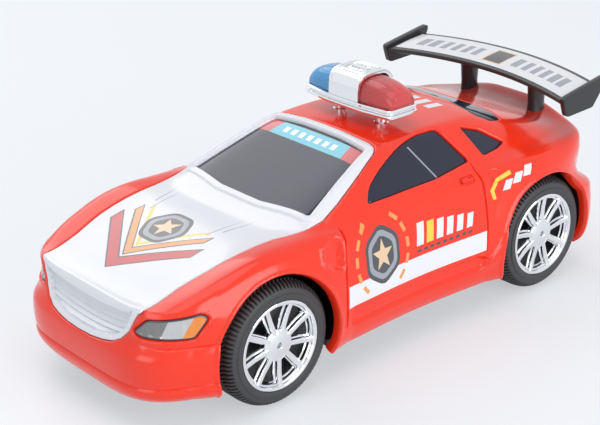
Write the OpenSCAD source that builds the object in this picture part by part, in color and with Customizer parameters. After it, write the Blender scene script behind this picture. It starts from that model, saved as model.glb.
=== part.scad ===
// Toy police coupe with a friction drive, about 1:24. Millimetres.
// Frame: +X is the nose, +Y the car's left side, +Z up, and Z = 0 is the floor under the tyres.

/* [Body] */
// Length of the body over both bumpers
body_l = 180; // [165:1:200]
// Width of the body over the wheel arches
body_w = 79.2; // [74:0.2:88]
// Height of the roof over the floor
roof_h = 59.8; // [57:0.2:66]
// Wall of the body moulding
wall = 1.6; // [1.3:0.1:2]
// Depth of the waist between the wheel arches
waist = 1.5; // [0.5:0.1:2.5]
// Swell of the rear wings over the tail
haunch = 2.2; // [1:0.1:3]
// Gap left around a panel that is set into the body
seam = 0.12; // [0.08:0.02:0.25]
// Thickness of the white bonnet panel's inner flange
flange_t = 1.2; // [0.9:0.1:1.6]
// Reach of that flange under the body's skin
flange_w = 2.4; // [1.6:0.2:3.4]
// Thickness of the dark glazing
glass_t = 1.2; // [0.8:0.1:1.6]
// Number of slots between the grille slats
slots = 5; // [3:1:7]
// Depth of those slots
slot_d = 0.8; // [0.4:0.1:1]

/* [Wheels] */
// Front axle's distance behind the nose
front_overhang = 40.5; // [38:0.5:43]
// Rear axle's distance ahead of the tail
rear_overhang = 30; // [28:0.5:33]
// Tyre radius
tyre_r = 18.45; // [17.4:0.05:19.2]
// Tyre width
tyre_w = 13; // [11:0.5:14]
// Radius of the rim's bright lip
rim_r = 13.36; // [12:0.02:14.2]
// Rim face's distance from the car's middle
face_y = 38.9; // [38:0.1:40]
// Number of spokes
spokes = 10; // [6:1:12]
// Axle radius
axle_r = 1.5; // [1.2:0.05:1.8]
// Radial running clearance of an axle or shaft
run = 0.06; // [0.03:0.01:0.09]
// Gap between a tyre and its arch
arch_gap = 1.9; // [1.5:0.1:2.6]
// Radial clearance of a pressed or bonded joint
snug = 0.01; // [0.005:0.005:0.02]

/* [Chassis] */
// Underside of the chassis pan over the floor
pan_z = 9.4; // [8.4:0.1:10]
// Thickness of the pan
pan_t = 2; // [1.6:0.1:2.6]
// Gap between the pan and the body's skirt
pan_fit = 0.25; // [0.15:0.05:0.5]
// Length of one axle saddle along the axle
saddle_w = 5; // [4:0.5:6]
// Screw shank radius
screw_r = 1.3; // [1:0.05:1.5]
// Screw head radius
head_r = 2.5; // [2.2:0.1:2.9]

/* [Friction drive] */
// Gear module
mod = 0.6; // [0.58:0.01:0.62]
// Teeth of the gear on the rear axle
axle_t = 22; // [20:1:23]
// Teeth of both pinions
pinion_t = 12; // [12:1:13]
// Teeth of the large idler gear
idler_t = 26; // [24:1:26]
// Pressure angle
press_a = 25; // [22:1:26]
// Play between meshing flanks
play = 0.1; // [0.06:0.02:0.16]
// Flywheel radius
fly_r = 9; // [7.5:0.1:9.1]
// Flywheel thickness
fly_w = 7; // [5:0.5:8]
// Wall of the gearbox
case_t = 1.4; // [1.1:0.1:1.6]

/* [Light bar] */
// Length of the bar across the roof
bar_w = 38; // [34:1:44]
// Top of the bar over the floor
bar_top = 74.4; // [73:0.2:77]
// Middle of the bar along X
bar_x = -17; // [-20:0.5:-14]
// Wall of the coloured lenses
lens_t = 1.1; // [0.8:0.1:1.5]

/* [Rear wing] */
// Width over the wing's end plates
wing_w = 80; // [76:1:86]
// Thickness of the blade
blade_t = 2.2; // [1.6:0.1:2.8]
// Rise of the blade from front edge to back edge
blade_rise = 2.6; // [2:0.1:3.8]
// Distance between the two posts
post_gap = 29.6; // [24:0.4:36]

/* [Hidden] */
$fn = 48;
e = 0.01;
kx = body_l/180;
ky = body_w/79.2;
kz = roof_h/59.8;
fine = 72;
rough = 44;
front_x = body_l/2 - front_overhang;
rear_x = rear_overhang - body_l/2;
axle_z = tyre_r;
pan_top = pan_z + pan_t;

// Lower body by height: front end, back end, half width, front and back corner power
flank = [for (q = [[8, 86.4, 85, 36.6, 4.5, 8], [9.6, 88.4, 87, 37.6, 4.5, 8],
  [11.5, 89.3, 88.8, 38.7, 5, 10],
  [15, 89.8, 89.7, 39.4, 5, 11], [19, 90, 90, 39.6, 5, 11], [22.5, 89.8, 90, 39.6, 5, 11],
  [24.2, 89, 90, 39.5, 5, 11],
  [25.6, 88, 89.9, 39.4, 4.8, 11], [29, 86.7, 89.6, 39.2, 5, 11], [30.8, 86.1, 86.8, 39, 5.2, 8],
  [35, 84.5, 86.4, 38.4, 5.4, 7],
  [40, 81, 86.8, 37.2, 5.4, 7], [46, 75, 88, 35.2, 5.4, 7], [52, 68, 89, 33, 5.4, 7]])
  [q[0]*kz, q[1]*kx, -q[2]*kx, q[3]*ky, q[4], q[5]]];
// Height of the deck along the middle and along the wing crests
deck_mid = [[-90, 50.8], [-86.5, 51.6], [-82, 50.3], [-72, 50], [-40, 48.5], [0, 46.5], [23, 44.8], [44, 44],
  [54, 42.9], [64, 41], [74, 38.2], [84.6, 34.5], [90, 32.6]];
deck_side = [[-90, 45.6], [-84, 46.4], [-60, 46.8], [-30, 46], [0, 45.4], [26, 45.2], [45, 45.1], [54, 44.5],
  [62, 42.8], [68, 41], [74, 39], [84, 35.2], [90, 32]];

function slope(p, i) = i <= 0 ? (p[1][1]-p[0][1])/(p[1][0]-p[0][0])
  : i >= len(p)-1 ? (p[i][1]-p[i-1][1])/(p[i][0]-p[i-1][0])
  : let (a = (p[i][1]-p[i-1][1])/(p[i][0]-p[i-1][0]), b = (p[i+1][1]-p[i][1])/(p[i+1][0]-p[i][0]))
    a*b <= 0 ? 0 : 2*a*b/(a+b);
function span(p, x, i = 0) = i >= len(p)-2 || x < p[i+1][0] ? i : span(p, x, i+1);
// Smooth curve through points [x, value]
function curve(p, x) = let (c = max(p[0][0], min(p[len(p)-1][0], x)), i = span(p, c), h = p[i+1][0]-p[i][0],
  t = (c-p[i][0])/h) (1+2*t)*(1-t)^2*p[i][1] + t*(1-t)^2*h*slope(p, i)
  + t*t*(3-2*t)*p[i+1][1] + t*t*(t-1)*h*slope(p, i+1);
function column(p, k) = [for (q = p) [q[0], q[k]]];
function ease(a, b, x) = let (t = max(0, min(1, (x-a)/(b-a)))) t*t*(3-2*t);
function mix(a, b, t) = a + (b-a)*t;
// One point of a rounded plan outline, with its own corner power at each end
function rim_pt(f, b, w, pf, pb, a) = let (c = cos(a), s = sin(a), px = sign(c)*abs(c)^0.83,
  py = sign(s)*abs(s)^0.83,
  p = c > 0 ? pf : pb, k = (abs(px)^p + abs(py)^p)^(-1/p)) [(f+b)/2 + (f-b)/2*px*k, w*py*k];
function pinch(x, z) = let (t = (x/kx+6)/36) (abs(t) < 1 ? waist*(1-t*t)^2 : 0)
  - haunch*ease(-28, -58, x/kx)*ease(34, 43, z/kz);
function flank_pt(z, a, in) = let (h = [for (k = [1:5]) curve(column(flank, k), z)],
  q = rim_pt(h[0]-in, h[1]+in, h[2]-in, h[3], h[4], a))
  [q[0], q[1] - sign(q[1])*pinch(q[0], z)*ease(15, 30, abs(q[1])), z];
function deck(x, y) = kz*mix(curve(deck_mid, x/kx), curve(deck_side, x/kx),
  ease(mix(5, 20, ease(-50, 10, x/kx)), 34, abs(y)/ky));
function edge_r(x) = x > 0 ? mix(5.6, 1.8, ease(64, 85, x/kx)) : mix(5.6, 2.4, ease(66, 84, -x/kx));
function fall(d, r) = d >= r ? 0 : r - sqrt(max(0, r*r-(r-d)^2));

// Cabin by height: windscreen, rear window and half width
function cabin_pt(z, a, in) = let (q = z/kz, g = rim_pt((-1.6+(58.6-q)/0.53)*kx - in*2,
  (-48-min(36, (57.5-q)/0.32))*kx + in*3.2, min(33.4, 34.2-0.9*(q-45))*ky - in*1.34,
  mix(5.2, 9, ease(45, 57, q)), 4.5, a)) [g[0], g[1], z];
function roof(x, y) = roof_h - 0.0026*y*y/ky - 0.0011*(x+22)^2/kx;

// Closed solid from rings of points, bottom ring first, with the last ring closed across the middle
module rings(r) {
  n = len(r[0]); m = len(r);
  polyhedron([for (q = r) each q], concat(
    [for (j = [0:m-2], i = [0:n-1]) each [[j*n+i, (j+1)*n+i, (j+1)*n+(i+1)%n],
      [j*n+i, (j+1)*n+(i+1)%n, j*n+(i+1)%n]]],
    [for (i = [0:n/2-2]) each [[i, i+1, n-2-i], [i, n-2-i, n-1-i]]],
    [for (i = [0:n/2-2]) let (o = (m-1)*n) each [[o+i, o+n-2-i, o+i+1], [o+i, o+n-1-i, o+n-2-i]]]),
    convexity = 6);
}
function inward(p, d, k) = let (c = [p[0]*k, 0], v = [p[0], p[1]]-c, l = norm(v))
  c + v*(1 - min(d, l*0.94)/l);

// Lower body without the cabin, set in by a distance
module lower(in = 0, n = fine, low = 9.8) {
  a = [for (i = [0:n-1]) (i+0.5)*360/n];
  ref = [for (t = a) flank_pt(38*kz, t, in)];
  top = [for (p = ref) deck(p[0], p[1]) - in - max(edge_r(p[0])-in, 0.5)];
  lev = n == fine ? [0, 0.07, 0.16, 0.27, 0.39, 0.45, 0.52, 0.62, 0.68, 0.82, 1]
    : [0, 0.16, 0.39, 0.52, 0.62, 0.68, 0.82, 1];
  step = n == fine ? [0.2, 0.8, 1.8, 3.4, 5.6, 9, 13, 18, 24, 40] : [0.8, 2.4, 5.6, 11, 18, 40];
  rim = [for (i = [0:n-1]) flank_pt(top[i], a[i], in)];
  rings(concat([for (t = lev) [for (i = [0:n-1]) flank_pt(mix(low*kz, top[i], t), a[i], in)]],
    [for (d = step) [for (p = rim) let (q = inward(p, d*ky, 0.56),
      r = max(edge_r(p[0])-in, 0.5)) [q[0], q[1], deck(q[0], q[1]) - in - fall(d*ky, r)]]]));
}
// Cabin above the belt line, set in by a distance
module cabin(in = 0, n = fine-16) {
  a = [for (i = [0:n-1]) (i+0.5)*360/n];
  top = 57.2*kz - in;
  rim = [for (t = a) cabin_pt(top, t, in)];
  mid = [for (p = rim) p - [-22*kx, 0, 0]];
  rings(concat([for (z = [42*kz, 45.5*kz, 49*kz, 53*kz, top]) [for (t = a) cabin_pt(z, t, in)]],
    [for (d = n == fine-16 ? [0.4, 1.2, 2.4, 6, 12, 30] : [0.8, 2.4, 10, 30]) [for (p = mid)
    let (q = inward(p, d*ky, 0.2), x = q[0]-22*kx)
      [x, q[1], roof(x, q[1]) - in - fall(d, 2.4)*0.8]]]));
}
module outside(in = 0) { lower(in); cabin(in); }
module inside(in, low = 8) { lower(in, rough, low); cabin(in, rough-8); }
// Outer skin down to a depth, and an inner layer between two depths
module face(b) { difference() { outside(); inside(b); } }
module layer(a, b) { difference() { lower(a, rough); lower(b, rough, 8); } }

// Plan of the white panel: grille, bonnet and windscreen frame
module panel_plan(g) {
  half = [[97, 12], [89.2, 16.4], [87.4, 19.6], [83.6, 23.6], [72.6, 24.2], [63.3, 25.8], [52, 27],
    [42, 28.6], [31.7, 30.2],
    [24, 31.6], [19, 31.4], [13, 28.8], [6, 25.4], [-1.2, 22], [-3, 20.4], [-3.6, 18]];
  offset(delta = g) polygon([for (p = half) [p[0]*kx, p[1]*ky],
    for (i = [len(half)-1:-1:0]) [half[i][0]*kx, -half[i][1]*ky]]);
}
module panel_zone(g) { translate([0, 0, 24*kz-g]) linear_extrude(50*kz) panel_plan(g); }
module screen_hole() {
  half = [[-1.2, 18.6], [7, 22.4], [14, 25.6], [17.2, 26.6], [19, 25.6], [21.4, 18], [22.6, 8]];
  translate([0, 0, 38*kz]) linear_extrude(30*kz) offset(r = 1) offset(delta = -1)
    polygon([for (p = half) [p[0]*kx, p[1]*ky], for (i = [6:-1:0]) [half[i][0]*kx, -half[i][1]*ky]]);
}
// Side windows, drawn on the car's side and cut straight through
module side_glass(g = 0) {
  door = [[9, 47.4], [5.6, 51], [1, 54.5], [-3.6, 57], [-9, 58], [-18, 58.3], [-28.4, 57.8],
    [-32.4, 48.8], [-18, 47.6]];
  rear = [[-36.4, 56.6], [-43.2, 54.4], [-49.6, 49.9], [-46, 49.2], [-39.4, 48.8]];
  for (q = [door, rear]) rotate([90, 0, 0]) translate([0, 0, -60]) linear_extrude(120) offset(r = 0.8)
    offset(delta = -0.8+g)
    polygon([for (p = q) [p[0]*kx, p[1]*kz]]);
}
module rear_glass() {
  half = [[-51.5, 19], [-56, 20.6], [-61, 18.8], [-64.4, 12]];
  translate([0, 0, 48*kz]) linear_extrude(20*kz) offset(r = 1.2) offset(delta = -1.2)
    polygon([for (p = half) [p[0]*kx, p[1]*ky], for (i = [3:-1:0]) [half[i][0]*kx, -half[i][1]*ky]]);
}
// Prism of one lamp, pointing out of the body at an angle in plan
module lamp_zone(pts, at, turn, g) {
  translate([at[0]*kx, at[1]*ky, 0]) rotate([0, 0, turn]) translate([-9, 0, 0]) rotate([90, 0, 90])
    linear_extrude(20)
    offset(delta = g) polygon([for (p = pts) [p[0], p[1]*kz]]);
}
head_pts = [[-6.3, 28.8], [-3, 33.2], [7.6, 34.2], [9.4, 32.3], [5.4, 28.2]];
tail_pts = [[-9.4, 35], [-9.4, 41], [7.6, 42.6], [9.4, 40.6], [8, 35]];
module head_zone(g) { lamp_zone(head_pts, [78.5, 29.5], 48.6, g); }
module tail_zone(g) { lamp_zone(tail_pts, [-85.4, 22.4], 180, g); }
// One lamp lens: face just under the body's surface, a flange behind the skin and flutes on its back
module lamp(at, turn, low, high, s) {
  m = [0, s < 0 ? 1 : 0, 0];
  intersection() { difference() { lower(0.25); lower(wall+seam+0.9, rough, 8); } mirror(m) children(0); }
  difference() {
    intersection() { layer(wall+seam, wall+seam+0.9); mirror(m) children(1); }
    panel_zone(flange_w+0.4);
  }
  intersection() {
    layer(wall+seam+0.5, wall+seam+1.3);
    mirror(m) children(0);
    mirror(m) translate([at[0]*kx, at[1]*ky, 0]) rotate([0, 0, turn]) for (i = [-4:4]) hull()
      for (z = [low, high])
      translate([-9, i*1.5, z*kz]) rotate([0, 90, 0]) cylinder(r = 0.45, h = 18, $fn = 6);
  }
}

boss_at = [[75.6, 24.4], [75.6, -24.4], [-79.6, 20.4], [-79.6, -20.4]];
function boss_top(i) = i < 2 ? 26*kz : 49*kz;
peg_at = [[bar_x, 9], [bar_x, -9]];
post_x = -82*kx;

module body_shell() color("red") {
  difference() {
    outside();
    inside(wall);
    panel_zone(seam);
    side_glass();
    rear_glass();
    for (s = [0, 1]) mirror([0, s, 0]) { head_zone(0.01); tail_zone(0.01); }
    for (x = [front_x, rear_x], s = [-1, 1]) translate([x, s*35, axle_z]) rotate([90, 0, 0])
      cylinder(r = tyre_r+arch_gap, h = 24, center = true, $fn = 64);
    intersection() {
      difference() { lower(-1, rough); lower(0.8, rough); }
      translate([-34*kx, -50, 15.2*kz]) cube([57*kx, 100, 5.4*kz]);
    }
    for (p = peg_at) translate([p[0], p[1], 50*kz]) cylinder(r = 1.5, h = 20*kz, $fn = 24);
    for (s = [-1, 1]) translate([post_x, s*post_gap/2, 44*kz]) cylinder(r = 2.1, h = 12*kz, $fn = 24);
  }
  difference() {
    intersection() {
      inside(wall/2, 8);
      for (i = [0:3]) translate([boss_at[i][0]*kx, boss_at[i][1]*ky, 0]) {
        translate([0, 0, pan_top+0.05]) cylinder(r = 3.1, h = boss_top(i)-pan_top, $fn = 24);
        for (a = [0, i % 2 == 0 ? 90 : -90]) hull() {
          translate([0, 0, pan_top+2]) cylinder(r = 0.6, h = boss_top(i)-pan_top-4, $fn = 12);
          rotate([0, 0, a]) translate([i < 2 || a != 0 ? 12 : -12, 0, pan_top+4])
            cylinder(r = 0.6, h = boss_top(i)-pan_top-6, $fn = 12);
        }
      }
    }
    for (p = boss_at) translate([p[0]*kx, p[1]*ky, pan_z]) cylinder(r = screw_r+0.03, h = 16);
    for (s = [0, 1]) mirror([0, s, 0]) { head_zone(1.5); tail_zone(1.5); }
  }
}

// White moulding: bonnet skin, grille slats, windscreen frame and a flange under the red body
module bonnet_panel() color("white") difference() {
  union() {
    intersection() { face(wall); panel_zone(0); }
    intersection() { layer(wall-0.4, wall+seam+flange_t); panel_zone(-seam); translate([27*kx, -50, 20])
      cube([80, 100, 40]); }
    intersection() {
      layer(wall+seam, wall+seam+flange_t);
      panel_zone(flange_w);
      translate([27*kx, -50, 24.6*kz]) cube([80, 100, 40]);
      for (i = [0:7]) hull() for (s = [-1, 1]) translate([(31+i*5.4)*kx, s*40, 20*kz])
        cylinder(r = 2.4*kx, h = 40, $fn = 6);
    }
  }
  screen_hole();
  for (s = [0, 1]) mirror([0, s, 0]) head_zone(seam);
  for (i = [0:slots-1]) intersection() {
    difference() { lower(-1); lower(slot_d); }
    translate([80*kx, -50, (25.4+i*8/slots)*kz]) cube([20, 100, 0.75*8/slots*kz]);
    panel_zone(-1);
  }
}

// Dark glazing: one moulding that fills every window from inside
module window_insert() color("dimgray") {
  intersection() {
    difference() { cabin(wall+seam, rough-8); cabin(wall+seam+glass_t, rough-8); }
    rotate([90, 0, 0]) translate([0, 0, -50]) linear_extrude(100)
      polygon([for (p = [[30, 44.4], [13, 44.4], [2, 47], [-48, 47],
      [-64, 49.4], [-67, 50], [-67, 66], [30, 66]]) [p[0]*kx, p[1]*kz]]);
    difference() { translate([-100, -50, 0]) cube([200, 100, 100]);
      for (p = peg_at) translate([p[0], p[1], 40*kz]) cylinder(r = 3.4, h = 40); }
  }
  for (i = [0:8]) intersection() {
    difference() { cabin(wall+seam+glass_t-0.3, rough-8); cabin(wall+seam+glass_t+0.8, rough-8); }
    hull() for (s = [-1, 1]) translate([(-36+i*4)*kx, s*5, 52*kz]) cylinder(r = 0.5, h = 10*kz, $fn = 8);
  }
}
module headlight(s) color("lightgray") lamp([78.5, 29.5], 48.6, 28.8, 33, s) {
  head_zone(-seam);
  head_zone(1.2);
}
module tail_lamp(s) color("darkred") lamp([-85.4, 22.4], 180, 36, 41, s) {
  tail_zone(-seam);
  tail_zone(1.2);
}

// Screws stand head down, with the head's underside at z = 0
module screw(l) {
  translate([0, 0, -1.2]) cylinder(r = head_r, h = 1.2);
  translate([0, 0, -e]) cylinder(r = screw_r, h = l);
}
gear_a = mod*(axle_t+pinion_t)/2 + play/2;
gear_b = mod*(idler_t+pinion_t)/2 + play/2;
turn_a = 40;
turn_b = 15;
idler_at = [rear_x + gear_a*cos(turn_a), axle_z + gear_a*sin(turn_a)];
fly_at = idler_at + gear_b*[cos(turn_b), sin(turn_b)];
case_x0 = rear_x - mod*(axle_t/2+1) - 0.8 - case_t;
case_x1 = fly_at[0] + fly_r + 0.8 + case_t;
case_z0 = pan_z;
case_z1 = fly_at[1] + fly_r + 0.8 + case_t;
case_y = 13;
lug = 6.4;
lug_x = [case_x0 - lug/2, case_x1 + lug/2];
hub_in = face_y - tyre_w - 1.9;
tube_y = hub_in - 0.35;
clip_x = 9;
module along_y(x, z) { translate([x, 0, z]) rotate([90, 0, 0]) children(); }
module bar_y(x, z, r, y0, y1) { along_y(x, z) translate([0, 0, -y1]) cylinder(r = r, h = y1-y0); }

module screw_seat() {
  cylinder(r = head_r+0.2, h = 1.2+e);
  cylinder(r = screw_r+0.2, h = 10);
}
module chassis_pan() color("black") difference() {
  union() {
    difference() {
      translate([0, 0, pan_z]) linear_extrude(pan_t) difference() {
        polygon([for (i = [0:rough-1]) let (p = flank_pt(8.4*kz, (i+0.5)*360/rough, wall+pan_fit))
          [p[0], p[1]]]);
        for (x = [front_x, rear_x], s = [-1, 1]) translate([x, s*(face_y-tyre_w-1.6+15)])
          square([2*tyre_r+4, 30], center = true);
        translate([case_x0-0.3, -case_y-0.3]) square([case_x1-case_x0+0.6, 2*case_y+0.6]);
      }
      for (x = lug_x) translate([x, 0, pan_z-e]) screw_seat();
      for (p = boss_at) translate([p[0]*kx, p[1]*ky, pan_z-e]) screw_seat();
    }
    for (s = [-1, 1]) {
      translate([front_x-4.5, s*(tube_y-saddle_w/2)-saddle_w/2, pan_top-e])
        cube([9, saddle_w, axle_z+2.2-pan_top]);
      translate([case_x1+1, s*17-1, pan_top-e]) cube([front_x-clip_x-8-case_x1, 2, 3]);
    }
    for (s = [-1, 1]) translate([front_x+s*clip_x, 0, pan_top-e]) cylinder(r = 3, h = axle_z+2.2-pan_top);
  }
  bar_y(front_x, axle_z, axle_r+run, -40, 40);
  translate([front_x-axle_r-run, -40, axle_z]) cube([2*(axle_r+run), 80, 10]);
  for (s = [-1, 1]) translate([front_x+s*clip_x, 0, axle_z-4]) cylinder(r = screw_r+snug, h = 10);
}
// Bridge that closes both axle saddles from above
module front_axle_clip() color("black") difference() {
  union() {
    translate([front_x-4, -tube_y, axle_z+2.25]) cube([8, 2*tube_y, 2]);
    translate([front_x-clip_x-3.5, -3.5, axle_z+2.25]) cube([2*clip_x+7, 7, 2]);
    for (s = [-1, 1]) translate([front_x-axle_r+0.1, s*(tube_y-saddle_w/2)-saddle_w/2,
      axle_z+axle_r+run+0.02])
      cube([2*axle_r-0.2, saddle_w, 1]);
  }
  for (s = [-1, 1]) translate([front_x+s*clip_x, 0, axle_z]) cylinder(r = screw_r+0.2, h = 10);
}
module chassis_screws() color("silver") for (p = boss_at) translate([p[0]*kx, p[1]*ky, pan_z+1.2]) screw(12);
module gearbox_screws() color("silver") for (x = lug_x) translate([x, 0, pan_z+1.2]) screw(6);
module clip_screws() color("silver") for (s = [-1, 1]) translate([front_x+s*clip_x, 0, axle_z+4.27])
  rotate([180, 0, 0]) screw(7.5);

// Gearbox tub, open on the car's left side
module gearbox_case() color("gainsboro") difference() {
  union() {
    translate([case_x0, -case_y, case_z0]) cube([case_x1-case_x0, 2*case_y-case_t, case_z1-case_z0]);
    for (x = [case_x0-lug, case_x1-e]) translate([x, -5, pan_top+0.05]) cube([lug+e, 10, 6]);
    bar_y(rear_x, axle_z, 3.4, -tube_y, -case_y+e);
  }
  translate([case_x0+case_t, -case_y+case_t, case_z0+case_t]) cube([case_x1-case_x0-2*case_t, 2*case_y,
    case_z1-case_z0-2*case_t]);
  bar_y(rear_x, axle_z, axle_r+run, -40, 0);
  bar_y(idler_at[0], idler_at[1], 1.2+snug, -40, 0);
  bar_y(fly_at[0], fly_at[1], 1+run, -40, 0);
  for (x = lug_x) translate([x, 0, pan_z]) cylinder(r = screw_r+snug, h = 8);
}
module gearbox_cover() color("gainsboro") difference() {
  union() {
    translate([case_x0, case_y-case_t+0.02, case_z0]) cube([case_x1-case_x0, case_t, case_z1-case_z0]);
    translate([case_x0+case_t+0.1, case_y-case_t-1.5, case_z0+case_t+0.1]) difference() {
      cube([case_x1-case_x0-2*case_t-0.2, 1.6, case_z1-case_z0-2*case_t-0.2]);
      translate([1.2, -1, 1.2]) cube([case_x1-case_x0-2*case_t-2.6, 4, case_z1-case_z0-2*case_t-2.6]);
    }
    bar_y(rear_x, axle_z, 3.4, case_y-0.1, tube_y);
  }
  bar_y(rear_x, axle_z, axle_r+run, 0, 40);
  bar_y(idler_at[0], idler_at[1], 1.2+snug, 0, 40);
  bar_y(fly_at[0], fly_at[1], 1+run, 0, 40);
}
module idler_shaft() color("silver") bar_y(idler_at[0], idler_at[1], 1.2, -case_y, case_y);

// Involute gear outline, with a tooth on the +X axis
function involute(r, t) = r*[cos(t)+t*PI/180*sin(t), sin(t)-t*PI/180*cos(t)];
module gear(z, w) {
  r = mod*z/2;
  rb = r*cos(press_a);
  ro = r + mod*0.95;
  rf = r - mod*1.25;
  half = 90/z - play/2/r*180/PI + (tan(press_a)*180/PI - press_a);
  t1 = sqrt((ro/rb)^2-1)*180/PI;
  t0 = rf > rb ? sqrt((rf/rb)^2-1)*180/PI : 0;
  side = [for (i = [0:5]) let (p = involute(rb, mix(t0, t1, i/5)), a = atan2(p[1], p[0])-half)
    norm(p)*[cos(a), sin(a)]];
  foot = rf < rb ? [rf*[cos(-half), sin(-half)]] : [];
  flankside = concat(foot, side);
  tooth = concat(flankside, [for (i = [len(flankside)-1:-1:0]) [flankside[i][0], -flankside[i][1]]]);
  linear_extrude(w) polygon([for (k = [0:z-1]) each [for (p = tooth) let (a = k*360/z)
    [p[0]*cos(a)-p[1]*sin(a), p[0]*sin(a)+p[1]*cos(a)]]]);
}
module gear_y(at, z, turn, y0, y1) { along_y(at[0], at[1]) translate([0, 0, -y1]) rotate([0, 0, turn])
  gear(z, y1-y0); }

module front_axle() color("silver") bar_y(front_x, axle_z, axle_r, -face_y+2, face_y-2);
module rear_axle() color("silver") bar_y(rear_x, axle_z, axle_r, -face_y+2, face_y-2);
module axle_gear() color("ivory") difference() {
  gear_y([rear_x, axle_z], axle_t, turn_a, -8, -4);
  bar_y(rear_x, axle_z, axle_r+snug, -20, 20);
}
module idler_gear() color("ivory") difference() {
  union() {
    gear_y(idler_at, pinion_t, turn_a+180+180/pinion_t, -8.2, -3);
    gear_y(idler_at, idler_t, turn_b, -3.4, -0.4);
    bar_y(idler_at[0], idler_at[1], 2.1, -case_y+case_t+0.3, case_y-case_t-0.3);
  }
  bar_y(idler_at[0], idler_at[1], 1.2+run, -20, 20);
}
module flywheel_shaft() color("silver") {
  bar_y(fly_at[0], fly_at[1], 1, -case_y-0.5, case_y+0.5);
  gear_y(fly_at, pinion_t, turn_b+180+180/pinion_t, -3.6, -0.2);
  bar_y(fly_at[0], fly_at[1], 1.8, -case_y+case_t+0.3, -3.5);
}
module flywheel() color("slategray") difference() {
  union() {
    bar_y(fly_at[0], fly_at[1], fly_r, 1.2, 1.2+fly_w);
    bar_y(fly_at[0], fly_at[1], 2, 1, case_y-case_t-0.3);
  }
  bar_y(fly_at[0], fly_at[1], 1+snug, -20, 20);
}

// Wheels lie with the outer face up at z = 0, then turn to the left or right side
module at_wheel(x, s) { translate([x, s*face_y, axle_z]) rotate([-90*s, 0, 0]) children(); }
function arc(c, r, a, b, n) = [for (i = [0:n]) let (t = mix(a, b, i/n)) c + r*[cos(t), sin(t)]];
bead = rim_r - 0.5;
module rim(x, s) color("silver") at_wheel(x, s) difference() {
  union() {
    rotate_extrude() polygon([[bead-1.5, -tyre_w+0.6], [bead, -tyre_w+0.6], [bead, -0.9], [rim_r, -0.6],
      [rim_r-0.1, -0.1],
      [rim_r-0.4, 0], [rim_r-1, -0.1], [bead-0.9, -0.9], [bead-1.5, -1.6]]);
    translate([0, 0, -3.2]) linear_extrude(1.8) difference() {
      circle(r = bead-1);
      for (i = [0:spokes-1]) rotate(i*360/spokes) polygon([[5.2, -0.55],
        [bead-1.8, -2.3*rim_r/13.36*10/spokes],
        [bead-1.4, 0], [bead-1.8, 2.3*rim_r/13.36*10/spokes], [5.2, 0.55]]);
    }
    translate([0, 0, hub_in-face_y]) cylinder(r = 4, h = face_y-hub_in-1.6);
    translate([0, 0, -2]) cylinder(r1 = 4.6, r2 = 3.8, h = 1.2);
  }
  translate([0, 0, -40]) cylinder(r = axle_r+snug, h = 40);
}
module tyre(x, s) color("dimgray") at_wheel(x, s) rotate_extrude() polygon(concat(
  [[bead+0.02, -tyre_w+0.4], [bead+1.6, -tyre_w+0.1]], arc([tyre_r-2.4, -tyre_w+2.4], 2.4, -90, 0, 5),
  [for (k = [1:3], q = [[0, -0.5], [-0.9, -0.4], [-0.9, 0.4], [0, 0.5]])
    [tyre_r+q[0], -tyre_w+0.1+tyre_w*k/4+q[1]]],
  arc([tyre_r-2.4, -2.2], 2.4, 0, 90, 5),
  [[bead+1.9, 0.2], [rim_r+0.15, -0.2], [rim_r+0.1, -0.75], [bead+0.02, -0.95]]));

// Roof light bar
base_z = 63.2*kz;
base_t = 3.2;
bar_h = bar_top - base_z - base_t;
module arch(w, h, y0, y1) {
  translate([bar_x, y1, base_z+base_t]) rotate([90, 0, 0]) linear_extrude(y1-y0)
    polygon([for (i = [0:18]) let (a = i*10) [w*sign(cos(a))*abs(cos(a))^0.55, h*sin(a)^0.6]]);
}
module tray(g, z, h) {
  half = [[5-g, 0.5*bar_w-g], [5.8-g, 0.48*bar_w-g], [7.6-g, 0.2*bar_w]];
  translate([bar_x, 0, z]) linear_extrude(h) polygon([for (p = half) p,
    for (i = [2:-1:0]) [half[i][0], -half[i][1]],
    for (p = half) [-p[0], -p[1]], for (i = [2:-1:0]) [-half[i][0], half[i][1]]]);
}
module lightbar_base() color("silver") {
  tray(0.9, base_z, base_t);
  tray(0, base_z+base_t-1.2, 1.2);
  for (p = peg_at) {
    translate([p[0], p[1], roof(p[0], p[1])+0.1]) cylinder(r = 2.4, h = base_z-roof(p[0], p[1])+0.5);
    translate([p[0], p[1], 56.5*kz]) cylinder(r = 1.4, h = base_z-56*kz);
  }
}
module lightbar_cover() color("silver") {
  difference() {
    arch(7.4, bar_h, -6.4, 6.4);
    translate([0, 0, -e]) arch(6.6, bar_h-0.8, -6.5, 6.5);
  }
  for (k = [-1:1]) translate([bar_x+k*2.6-0.7, -3.6, base_z+base_t+bar_h-0.7])
    cube([1.4, 7.2, 1-abs(k)*0.35]);
}
module lens_form(g) {
  hull() {
    arch(6.4-g, bar_h-1-g, 0.3+g, 7);
    arch(5.9-g, bar_h-1.4-g, bar_w*0.3, bar_w*0.31-g/2);
    arch(5-g, bar_h-2.6-g, bar_w*0.42, bar_w*0.43-g/2);
    arch(4.2-g, bar_h-5-g, bar_w*0.47, bar_w*0.48-g);
  }
}
module lens(s) mirror([0, s < 0 ? 1 : 0, 0]) difference() {
  translate([0, 0, 0.02]) lens_form(0);
  translate([0, 0, -0.05]) lens_form(lens_t);
}
module blue_lens() color("royalblue") lens(-1);
module red_lens() color("red") lens(1);

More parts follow.
